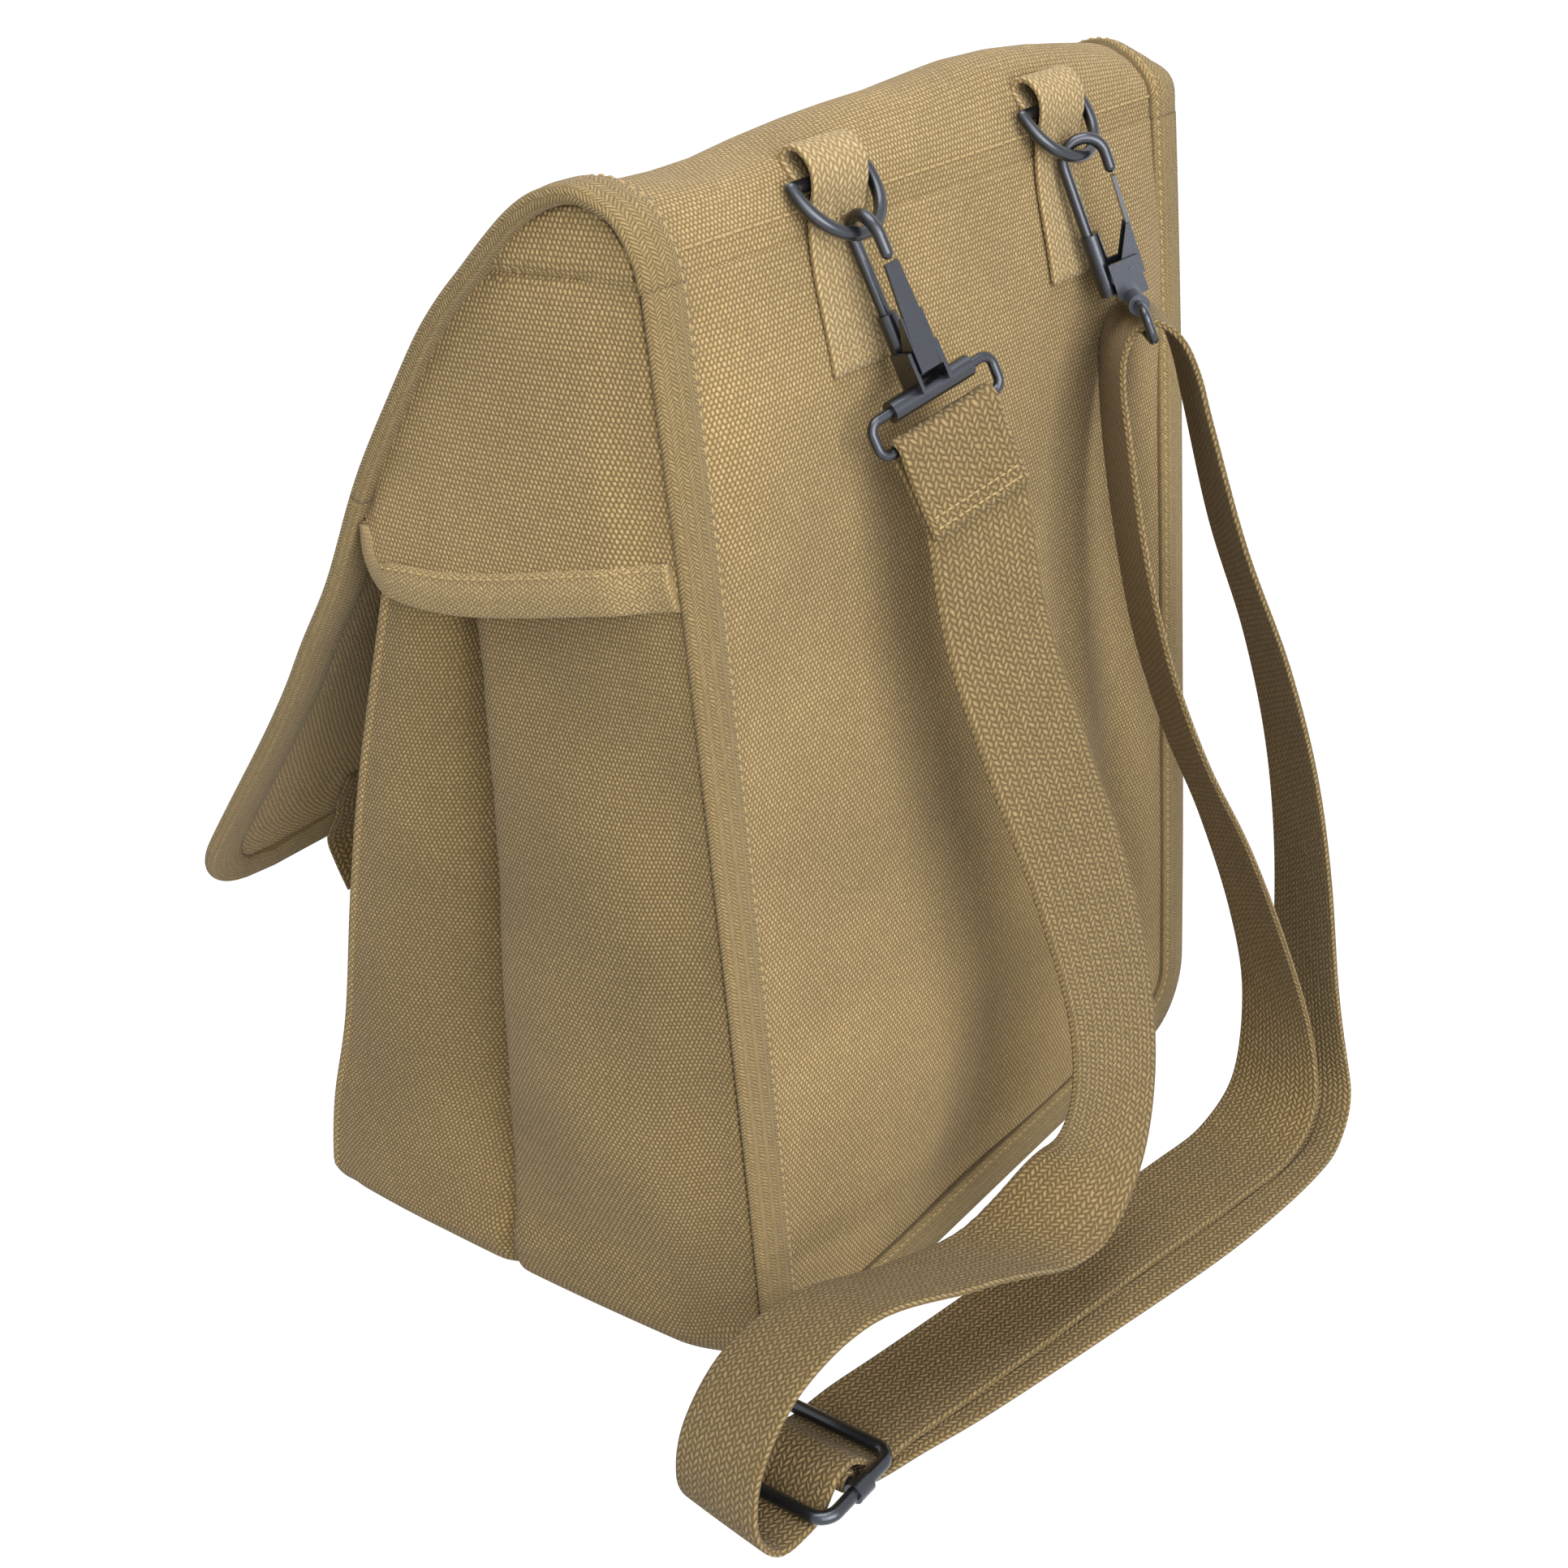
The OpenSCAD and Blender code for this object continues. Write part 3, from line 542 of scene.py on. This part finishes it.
def makeFlapGrid(s):
    path = resampled(flapLine, s["rows"])
    length = distances(flapLine)[-1]
    v = np.linspace(0, length, s["rows"])
    u = np.linspace(-1, 1, s["cols"])
    left = length - v  # distance above the hem
    lack = np.clip(s["radius"] - left, 0, s["radius"])
    half = flapHalf - s["radius"] + np.sqrt(np.maximum(s["radius"] ** 2 - lack ** 2, 0))
    half -= 2.6 * (1 - ramp(v, 0, 40))
    x = u[None] * half[:, None]
    x = x + 4.0 * ramp(-u, 0.6, 1)[None] * bell(v, 38, 20)[:, None]
    y = np.repeat(path[:, :1], s["cols"], 1)
    z = np.repeat(path[:, 1:], s["cols"], 1)
    t = unit(np.gradient(path, axis=0))
    n = np.stack([t[:, 1], -t[:, 0]], 1)  # outwards
    # slow waves, the crease and the swell under the crest, the belly and the sides' pull inwards
    out = 0.7 * np.sin(x * 0.035 + v[:, None] * 0.018) * np.sin(v[:, None] * 0.026 + 1)
    out -= 2.2 * bell(v[:, None], 34 + 0.02 * x, 7) * ramp(x, 20, 60) * ramp(-x, -128, -96)
    out += 1.2 * bell(v[:, None], 22, 7) * ramp(x, 20, 60)
    out -= 2.0 * (1 - (x / flapHalf) ** 2) * bell(v, 200, 80)[:, None]
    out -= 5.2 * ramp(np.abs(x), 70, 142) * (ramp(v, 48, 95) * (1 - ramp(v, 205, 270)))[:, None]
    out *= ramp(v, 0, 14)[:, None]
    y = y + out * n[:, :1]
    z = z + out * n[:, 1:]
    rise = np.interp(x, [p[0] for p in crestRise], [p[1] for p in crestRise])
    z = z + rise * (ramp(v, 6, 32) * (1 - ramp(v, 60, 125)))[:, None]
    swingY, swingZ = cornerSwing(x, left[:, None], s)
    return np.stack([x, y + swingY, z + swingZ], -1), v


flapGrid, flapV = makeFlapGrid(flapSet)
flapNormal = normalsOf(flapGrid)
if flapNormal[95, 48, 2] < 0:
    flapNormal = -flapNormal
split = int(np.searchsorted(flapV, flapSet["split"]))


def makeFlapPart(name, rows, body, nodes):
    part = flapGrid[rows]
    obj = shell(name, part, flapSet["thick"], cloth["canvas"], facing=1, start=(0, flapV[rows][0]),
                normals=flapNormal[rows])
    n = np.vstack([flapNormal[rows].reshape(-1, 3), -flapNormal[rows].reshape(-1, 3)])
    obj.data.normals_split_custom_set_from_vertices([tuple(x) for x in n])
    settle(obj, body, "canvas", *nodes)


makeFlapPart("flapTop", slice(0, split + 1), crestHinge, ["flap_yoke", "flap_upper"])
makeFlapPart("flapFront", slice(split, None), bendHinge, ["flap_lower"])

flapTapeSet = {"width": 12.5, "up": 2.1, "down": 3.6, "past": 2.1, "puff": 0.7, "seam": 1.7}


def makeFlapTapes(s):
    for side, col, nxt in (("Right", -1, -2), ("Left", 0, 1)):
        e = flapGrid[:split + 1, col]
        i = unit(flapGrid[:split + 1, nxt] - e)
        v = flapV[:split + 1]
        i *= (1.16 - 0.16 * ramp(v, 40, 110))[:, None]
        n = flapNormal[:split + 1, col]
        tape = edgeTape("flapTape" + side, e, i, n, {**s, "sink": 0.4 + 0.6 * ramp(v, 4, 45)})
        settle(tape, crestHinge, "binding_tape", "flap_edge_" + side.lower())
        settle(stitches("flapStitch" + side, seamLine(e, i, n, s), n, stitchSet), crestHinge, "binding_tape")
    # one tape down the right side, along the hem and up the left side
    rows = range(split, len(flapV))
    order = [(r, -1) for r in rows] + [(len(flapV) - 1, c) for c in range(flapSet["cols"] - 2, 0, -1)]
    order += [(r, 0) for r in rows[::-1]]
    edge = np.array([flapGrid[r, c] for r, c in order])
    normal = np.array([flapNormal[r, c] for r, c in order])
    keep = np.r_[True, np.linalg.norm(np.diff(edge, axis=0), axis=1) > 0.4]
    edge, normal = edge[keep], normal[keep]
    inner = unit(np.cross(np.gradient(edge, axis=0), normal))
    if inner[len(inner) // 2, 2] < 0:
        inner = -inner
    settle(edgeTape("flapHemTape", edge, inner, normal, s), bendHinge, "binding_tape", "flap_hem")
    line = seamLine(edge, inner, normal, s)
    settle(stitches("flapHemStitch", line, normal, stitchSet), bendHinge, "binding_tape")


makeFlapTapes(flapTapeSet)

seamSet = {"v": 6.5, "pitch": 4.2, "length": 2.8, "radius": 0.42}


def makeSeam(s):  # the stitched seam where the flap joins the back panel
    r = int(np.searchsorted(flapV, s["v"]))
    line, n = flapGrid[r, 3:-3], flapNormal[r, 3:-3]
    settle(stitches("yokeStitch", line + n * 0.1, n, s), "bag", "canvas")


makeSeam(seamSet)
print("flap made")

# gussets
gussetSet = {"depth": 22, "thick": 1.5, "radius": backSet["radius"], "frontRadius": 13, "top": 284,
             "rows": 110, "cols": 90, "x": 139.4, "back": 108.6, "base": 1.6, "foot": 0.4}


def foldY(z):
    return np.interp(z, [-20, 32, 87, 172, 250, 600], [-10, -8, -4, 8, 17, 24])


def frontY(z):
    return np.interp(z, frontLine[6:, 1], frontLine[6:, 0]) + 1.2


def makeGusset(name, side, s):
    turn = np.linspace(0, math.pi / 2, 16)[:-1]
    angle = np.r_[turn, np.full(s["rows"], math.pi / 2)]
    bend, base, top = s["foot"] + s["radius"], s["base"], s["top"]
    z0 = np.r_[s["foot"] + s["radius"] * (1 - np.cos(turn)), np.linspace(bend, top, s["rows"])]

    def height(a, z, radius):  # of a point on the turn into the bottom, or above it
        if a < math.pi / 2:
            return base + radius * (1 - math.cos(a))
        return base + radius + (z - bend) * (top - base - radius) / (top - bend)

    rows = []
    for a, z in zip(angle, z0):
        f, m, b = frontY(height(a, z, s["frontRadius"])), foldY(z), s["back"]
        d = s["depth"] * ramp(z, 2, 110)
        e = d * float(np.clip((232 - z) / 60, -0.1, 1))
        key = [(f, 0), (f + 0.3 * (m - f), -0.06 * d), (f + 0.62 * (m - f), -0.3 * d), (m - 10, -0.62 * d),
               (m - 3, -0.95 * d), (m + 0.5, -d), (m + 2.6, -0.7 * d), (m + 4, -0.3 * d), (m + 8, 0.02 * e),
               (m + 0.35 * (b - m), 0.22 * e), (m + 0.7 * (b - m), 0.18 * e), (b - 8, 0.03 * e), (b, 0)]
        line = resampled(curveThrough(key, 8), s["cols"])
        y, q = line[:, 0], line[:, 1]
        wave = 0.9 * np.sin(y * 0.06 + z * 0.02) * np.sin(z * 0.035 + side) * ramp(z, 10, 60)
        wave += 1.6 * bell(z, 30 + 0.25 * (y + 20), 7) * bell(y, -20, 40)
        wave -= 1.2 * bell(z, 44 + 0.2 * y, 8) * bell(y, 20, 40)
        low = 1 - ramp(z, 8, 70)
        wave += 4.5 * low * np.sin(np.pi * np.clip((y - f) / (b - f), 0, 1)) ** 0.7
        wave -= 3.0 * low * bell(y, m, 4)
        push = q + wave * ramp(np.minimum(y - f, b - y), 0, 14)
        radius = s["radius"] - (s["radius"] - s["frontRadius"]) * ramp(b - y, 2, 40)
        x = s["x"] - radius * (1 - math.sin(a))
        rows.append(np.stack([x + push * math.sin(a), y, height(a, z, radius)], 1))
    grid = np.array(rows)
    grid[:, :, 0] *= side
    # the gussets get the canvas painted darker, a painted shade
    return shell(name, grid, s["thick"], cloth["gussetShadedCanvas"], facing=-side)


for side, word in bothSides:
    settle(makeGusset("gusset" + word, side, gussetSet), "bag", "canvas", "gusset_" + word.lower())

# ears
earSet = {"x": 137.6, "out": 4.4, "rows": 60, "cols": 60, "bulge": 2.2, "thick": 1.5, "under": 0.8}
earTop = curveThrough([(104.4, 380), (93, 391), (80, 391), (65, 385.5), (48, 376), (28.4, 362), (9, 344),
                       (-9, 323), (-19, 304), (-21.6, 294)], 6)
earLow = curveThrough([(108.6, 284), (77.6, 278.4), (42, 271.7), (16, 268.3), (-6, 268.6), (-16, 272),
                       (-20.6, 279.5), (-20.4, 290)], 6)


def tucked(points, column, under):  # the line, kept that far under the flap's outer face
    line, n = flapGrid[:split + 20, column, 1:], flapNormal[:split + 20, column, 1:]
    near = [int(np.argmin(np.linalg.norm(line - p, axis=1))) for p in points]
    above = ((points - line[near]) * n[near]).sum(1)
    shift = np.pad(n[near] * np.maximum(above + under, 0)[:, None], ((4, 4), (0, 0)), "edge")
    return points - np.stack([np.convolve(shift[:, k], np.ones(9) / 9, "valid") for k in (0, 1)], 1)


def makeEar(name, side, s):
    top = tucked(resampled(earTop, s["cols"]), -3 if side > 0 else 2, s["under"])
    low = resampled(earLow, s["cols"])
    grid = []
    for t in np.linspace(0, 1, s["rows"]):
        line = top * (1 - t) + low * t
        y, z = line[:, 0], line[:, 1]
        u = np.linspace(0, 1, s["cols"])
        puff = s["bulge"] * np.sin(np.pi * np.clip(t, 0, 1)) ** 0.8 * np.sin(np.pi * u) ** 0.5
        puff += 1.2 * bell(t, 0.97, 0.12)
        puff -= 2.0 * bell(z, 371 + 0.02 * y, 1.6) * ramp(y, 10, 40) * ramp(-y, -92, -80)
        puff += 1.4 * ramp(z, 371, 376) * ramp(y, 10, 40)
        place = s["x"] + s["out"] * ramp(t, 0.15, 0.9) * (1 - ramp(y, 84, 104)) + 1.2 * ramp(y, 90, 106)
        place = place - 1.6 * ramp(-y, 10, 21)
        grid.append(np.stack([place + puff, y, z], 1))
    grid = np.array(grid)
    grid[:, :, 0] *= side
    # the ears get the canvas painted lighter, a painted light from above
    return shell(name, grid, s["thick"], cloth["earLitCanvas"], facing=-side, uv=grid[:, :, 1:]), grid


# tip: the tape narrows to this share of its width over the last mm before its front end
earTapeSet = {"width": 12.5, "up": 2.9, "down": 2.4, "past": 1.9, "puff": 0.7, "seam": 1.6, "unsewn": 16,
              "tip": (0.22, -8, 34), "middle": (140, 45, 325)}


def makeEarHem(side, word, edge, s):
    outward = np.tile([side, 0, 0], (len(edge), 1)).astype(float)
    inner = unit(np.cross(np.gradient(edge, axis=0), outward))
    inner *= np.sign((inner * (np.array(s["middle"]) * (side, 1, 1) - edge)).sum(1))[:, None]
    toTip = np.linalg.norm(edge - edge[-1], axis=1)
    least, near, far = s["tip"]
    fit = least + (1 - least) * ramp(toTip, near, far)
    # the ear hems get the tape painted lighter, a painted light
    tape = edgeTape("earHem" + word, edge, inner, outward, {**s, "fit": fit}, cloth["earLitTape"])
    settle(tape, "bag", "binding_tape", "ear_hem_" + word.lower())
    line, sewn = seamLine(edge, inner, outward, s, fit[:, None]), toTip > s["unsewn"]
    settle(stitches("earStitch" + word, line[sewn], outward[sewn], stitchSet), "bag", "binding_tape")


for side, word in bothSides:
    ear, grid = makeEar("ear" + word, side, earSet)
    settle(ear, "bag", "canvas", "ear_" + word.lower())
    makeEarHem(side, word, grid[-1], earTapeSet)
print("sides made")

# front, bottom and divider
frontSet = {"half": 140.2, "radius": gussetSet["frontRadius"], "foot": 2.4, "thick": 1.5, "rows": 110,
            "cols": 70}
bottomSet = {"x": 112, "y": 96, "z": 0.3, "thick": 1.4}
dividerSet = {"half": 118, "thick": 1.5, "cells": 60}


def makeFront(s):
    path = resampled(frontLine, s["rows"])
    u = np.linspace(-1, 1, s["cols"])
    lack = np.clip(s["foot"] + s["radius"] - path[:, 1], 0, s["radius"])
    half = s["half"] - s["radius"] + np.sqrt(s["radius"] ** 2 - lack ** 2)
    x = u[None] * half[:, None]
    sag = 1.6 * np.sin(x * 0.04 + 1) * bell(path[:, 1], 180, 90)[:, None] * (1 - np.abs(u)[None] ** 4)
    grid = np.stack([x, path[:, :1] + sag, np.repeat(path[:, 1:], s["cols"], 1)], -1)
    return shell("frontPanel", grid, s["thick"], cloth["canvas"], facing=1), grid


frontPanel, frontGrid = makeFront(frontSet)
settle(frontPanel, "bag", "canvas", "front_panel")
seamTapeSet = {"width": 4.5, "up": 0.8, "down": 3.2, "past": 1.1, "puff": 0.1}


def makeFrontSeams(grid, s):
    normal = normalsOf(grid)
    normal *= -np.sign(normal[50, 30, 1])
    for col, nxt, word in ((-1, -2, "Right"), (0, 1, "Left")):
        inner = unit(grid[:, nxt] - grid[:, col])
        tape = edgeTape("frontSeam" + word, grid[:, col], inner, normal[:, col], s, cloth["canvas"])
        settle(tape, "bag", "canvas")


makeFrontSeams(frontGrid, seamTapeSet)


def makeBottom(s):
    x, y = np.meshgrid(np.linspace(-s["x"], s["x"], 50), np.linspace(s["y"], -s["y"], 40))
    grid = np.stack([x, y, np.full_like(x, s["z"])], -1)
    return shell("bottomPanel", grid, s["thick"], cloth["canvas"], facing=1)


settle(makeBottom(bottomSet), "bag", "canvas", "bottom_panel")


def makeDivider(s):
    path = resampled(curveThrough([(-9.6, 3), (-8, 32), (-4, 87), (8, 172), (17, 250)], 8), s["cells"])
    x, k = np.meshgrid(np.linspace(-s["half"], s["half"], s["cells"]), np.arange(s["cells"]))
    y, z = path[k, 0] + 1.2 * np.sin(x * 0.05) * ramp(path[k, 1], 20, 120), path[k, 1]
    return shell("divider", np.stack([x, y, z], -1), s["thick"], cloth["canvas"], facing=1)


settle(makeDivider(dividerSet), "bag", "canvas", "divider")
print("inside made")

# ring tabs, each from its sewn end up and over the ring; stitched: heights of the rows of thread
tabSet = {"width": 26, "thick": 1.9, "x": 60, "stitched": (334.5, 337.6, 371.5, 374.6), "sewn": 11}
tabLine = [(115.3, 331), (113.2, 345), (110.7, 360), (110.0, 371), (110.8, 378), (112.2, 384), (111.6, 390),
           (107.6, 394.6), (103.2, 394.8), (101.3, 392), (103.4, 388.6), (105.6, 385.2), (106.6, 381.6)]


def makeTab(side, word, s):
    tab = flatStrap("ringTab" + word, side * s["x"], curveThrough(tabLine, 7), s["width"], s["thick"],
                    cloth["tabWebbing"])
    settle(tab, "bag", "webbing", "tab_" + word.lower())
    rise = np.array(tabLine[:5])
    for k, z in enumerate(s["stitched"]):
        y = np.interp(z, rise[:, 1], rise[:, 0]) + 1.0
        across = np.linspace(-s["sewn"], s["sewn"], 12)
        line = np.array([(side * s["x"] + x, y, z + 0.02 * x) for x in across])
        row = stitches(f"tabStitch{word}{k}", line, np.tile([0, 1.0, 0.04], (12, 1)), tightSet)
        settle(row, "bag", "webbing")


for side, word in bothSides:
    makeTab(side, word, tabSet)

# shoulder strap
strapSet = {"width": 38, "thick": 2.2, "rightHook": ((60.76, 118.3, 374.3), (-18, 15, 12)), "bar": -64.0,
            "stitched": (22.5, 26)}
strapRoute = [
    (45, 149, 248, 160, 7), (39, 158, 206, 160, 3), (28, 166, 159, 162, 0), (19, 171, 110, 165, -2),
    (21, 172, 71, 160, -4), (34, 168, 45, 140, -12), (65, 161, 36, 114, -5), (106, 153, 46, 100, 8),
    (141, 142, 54, 86, 14), (172, 137, 50, 80, 10), (193, 136, 35, 79, 6), (201, 138, 18, 80, 3),
    (195, 139.6, 6, 83, 0), (183, 140.4, 4.3, 86, 0), (176, 140.7, 6.4, 87, 0), (169, 140.9, 13.1, 88, 0),
    (164, 141, 14.5, 89, 0), (159, 141.2, 13.1, 90, 0), (152, 141.8, 6.4, 92, 0), (145, 142.8, 4.3, 94, 0),
    (130, 145, 4.2, 97, 0), (111, 149, 4.2, 98, 0), (69, 157, 4.2, 99, 0), (17, 166, 4.2, 99, 0),
    (-35, 176, 4.2, 97, 0), (-64, 181, 6, 92, 0), (-86, 181, 17, 78, 0), (-98, 175, 46, 66, 0),
    (-96, 168, 81, 60, 0), (-82, 161, 126, 56, 0), (-67, 153, 165, 52, 0), (-59, 145, 202, 49, 0),
    (-57, 138, 239, 46, 0), (-60, 131, 275, 44, 0), (-63.6, 127, 300, 41, 0), (-67.4, 128, 312.6, 40, 0),
    (-73, 133.5, 318, 40, 0), (-79, 140, 312.4, 40, 0), (-83, 144, 300, 41, 0), (-85, 148, 281, 42, 0),
    (-92, 156, 237, 46, 0), (-107, 164, 190, 50, 0), (-117, 170, 144, 54, 0), (-119, 175, 99, 58, 0),
    (-117, 178.5, 50, 65, 0), (-107, 184.5, 15, 77, 0), (-86, 190, 3, 88, 0), (-60, 191, 1.5, 93, 0),
    (-12, 185, 1.4, 98, 0), (49, 171, 1.4, 99, 0), (101, 158, 1.4, 99, 0), (130, 149, 1.4, 98, 0),
    (146, 144.6, 1.5, 94, 0), (154, 142.6, 2.4, 91, 0), (159.3, 141.6, 5.0, 90, 0), (161.2, 141, 8.8, 90, 0),
    (162.5, 141, 11.3, 90, 0), (165, 141, 11.6, 90, 0), (166.8, 141, 9.4, 90, 0), (166, 141, 6.6, 90, 0),
    (163.4, 141, 5.8, 90, 0)]


def turned(yaw, roll, tilt):
    return np.array(Matrix.Rotation(math.radians(yaw), 3, "Z") @ Matrix.Rotation(math.radians(roll), 3, "Y")
                    @ Matrix.Rotation(math.radians(tilt), 3, "X"))


def makeStrap(s):
    place, angles = s["rightHook"]
    m = turned(*angles)
    z0 = s["bar"]
    local = [(1.5, z0 - 29), (1.5, z0 - 20), (1.6, z0 - 12), (2.3, z0 - 5), (2.9, z0), (2.05, z0 + 2.05),
             (0, z0 + 2.9), (-2.05, z0 + 2.05), (-2.9, z0), (-2.1, z0 - 5), (-1.2, z0 - 12), (-1.0, z0 - 20),
             (-0.9, z0 - 28)]
    points = [np.array(place) + m @ np.array((0, y, z)) for y, z in local]
    sides = [-m[:, 0]] * len(local)
    for x, y, z, yaw, pitch in strapRoute:
        points.append(np.array((x, y, z)))
        a, b = math.radians(yaw), math.radians(pitch)
        sides.append(np.array((math.cos(a) * math.cos(b), math.sin(a) * math.cos(b), math.sin(b))))
    both = curveThrough(np.hstack([np.array(points), np.array(sides)]), 7)
    both = resampled(both, 900)
    obj = sweep("shoulderStrap", both[:, :3], both[:, 3:], strapProfile(s["width"], s["thick"], 14, 0.12),
                cloth["webbing"])
    print("strap length", round(distances(both[:, :3])[-1]))
    rows = []
    for k, drop in enumerate(s["stitched"]):
        line = [np.array(place) + m @ np.array((x, 2.65, z0 - drop)) for x in np.linspace(-17, 17, 14)]
        rows.append(stitches(f"strapStitch{k}", np.array(line), np.tile(m[:, 1], (14, 1)),
                             {**tightSet, "radius": 0.4}))
    return obj, rows


strap, strapRows = makeStrap(strapSet)
settle(strap, "bag", "webbing", "strap", "strap_eye", "strap_end")
for obj in strapRows:
    settle(obj, "bag", "webbing")
print("strap made")

# closures
closeSet = {"width": 25, "thick": 2, "x": 78}
chapeSet = {**closeSet, "thick": 1.9, "lean": math.radians(16.9), "bar": (-75.686, 122)}
hemEnd = np.array((-131.0, 136.0))
hemUp = unit(np.array((-92.0, 194.0)) - hemEnd)


def hemPoint(t, d):  # t up the flap from its hem, d out of it
    return hemEnd + t * hemUp + d * np.array((hemUp[1], -hemUp[0]))


def makeClosure(name, x, s):
    key = [hemPoint(36, 3.2), hemPoint(22, 3.4), hemPoint(16, 5.1), hemPoint(2, 5.5),
           hemPoint(1, 5.8) + (2.4, -9), hemPoint(1, 5.8) + (7, -20)]
    obj = flatStrap(name, x, curveThrough(key, 6), s["width"], s["thick"], cloth["webbing"])
    p = np.array([v.co for v in obj.data.vertices]) / mm
    swingY, swingZ = cornerSwing(p[:, 0], np.maximum((p[:, 1:] - hemEnd) @ hemUp, 0), flapSet)
    p[:, 1] += swingY
    p[:, 2] += swingZ
    obj.data.vertices.foreach_set("co", (p * mm).ravel())
    obj.data.update()
    return obj


def makeChape(name, x, s):
    lean, (y0, z0) = s["lean"], s["bar"]
    key = [(3.1, 24), (3.1, 12), (2.7, 4), (0.6, 2.55), (-2.0, 1.5), (-2.55, -0.4), (-1.4, -2.2), (0.7, -2.5),
           (2.3, -1.2), (2.6, 0.6)]
    path = curveThrough(key, 6)
    y = y0 + path[:, 0] * math.cos(lean) + path[:, 1] * math.sin(lean)
    z = z0 + path[:, 1] * math.cos(lean) - path[:, 0] * math.sin(lean)
    return flatStrap(name, x, np.stack([y, z], 1), s["width"], s["thick"], cloth["webbing"])


for side, word in bothSides:
    closure = makeClosure("closureStrap" + word, side * closeSet["x"], closeSet)
    settle(closure, "flap_lower", "webbing", "closure_strap_" + word.lower())
    chape = makeChape("chape" + word, side * chapeSet["x"], chapeSet)
    settle(chape, "bag", "webbing", "chape_" + word.lower())
print("closures made")
# the metal pieces are the frame's own solids, painted
for name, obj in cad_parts.items():
    if name.startswith(("ring", "hook", "gate", "loop", "slider", "buckle")):
        obj.data.materials.clear()
        obj.data.materials.append(metal)
print("metal painted")

# stage and light
stageSet = {"floor": 80.0, "drop": -0.0004, "tone": 0.5, "glow": 1.3, "mix": 0.8, "sky": 0.42,
            "skyTone": (1, 0.985, 0.95, 1), "rays": ("Is Camera Ray", "Is Glossy Ray")}


def makeStage(s):
    bpy.ops.mesh.primitive_plane_add(size=s["floor"], location=(0, 0, s["drop"]))
    floor = bpy.context.object
    floor.name = "floor"
    sh = Shader("floor")
    paths = sh.tree.nodes.new("ShaderNodeLightPath")
    seen = sh.calc("MAXIMUM", *(Wire(sh, paths.outputs[ray]) for ray in s["rays"]))
    plain = sh.node("BsdfDiffuse", {}, {"Color": (s["tone"],) * 3 + (1,)})
    glow = sh.node("Emission", {}, {"Color": (1, 1, 1, 1), "Strength": s["glow"]})
    mix = sh.node("MixShader", {}, {0: seen * s["mix"], 1: plain, 2: glow})
    floor.data.materials.append(sh.finish(mix))
    world = bpy.data.worlds.new("studio")
    world.use_nodes = True
    bpy.context.scene.world = world
    tree = world.node_tree
    tree.nodes.clear()
    paths, sky, white, mixer, out, either = (tree.nodes.new("ShaderNode" + kind) for kind in (
        "LightPath", "Background", "Background", "MixShader", "OutputWorld", "Math"))
    sky.inputs[0].default_value, sky.inputs[1].default_value = s["skyTone"], s["sky"]
    white.inputs[0].default_value = (1, 1, 1, 1)
    either.operation = "MAXIMUM"
    for k, ray in enumerate(s["rays"]):
        tree.links.new(paths.outputs[ray], either.inputs[k])
    tree.links.new(either.outputs[0], mixer.inputs[0])
    tree.links.new(sky.outputs[0], mixer.inputs[1])
    tree.links.new(white.outputs[0], mixer.inputs[2])
    tree.links.new(mixer.outputs[0], out.inputs[0])


# place, target, size in metres and power
lampSet = {
    "key": [(1.1, 2.0, 0.85), (0, 0.05, 0.2), 2.2, 50],
    "fill": [(0.6, 2.0, 0.45), (0, 0.05, 0.12), 1.2, 16],
    "top": [(0.4, 0.2, 1.9), (0, 0.05, 0.3), 1.2, 22],
    "front": [(-0.6, -1.5, 1.2), (0, 0, 0.2), 1.2, 10],
}


def makeLamp(name, place, target, size, power):
    data = bpy.data.lights.new(name, "AREA")
    data.size, data.energy = size, power
    obj = bpy.data.objects.new(name, data)
    obj.location = place
    obj.rotation_euler = (Vector(target) - Vector(place)).to_track_quat("-Z", "Y").to_euler()
    bpy.context.scene.collection.objects.link(obj)


makeStage(stageSet)
for name, settings in lampSet.items():
    makeLamp(name, *settings)
print("stage made")
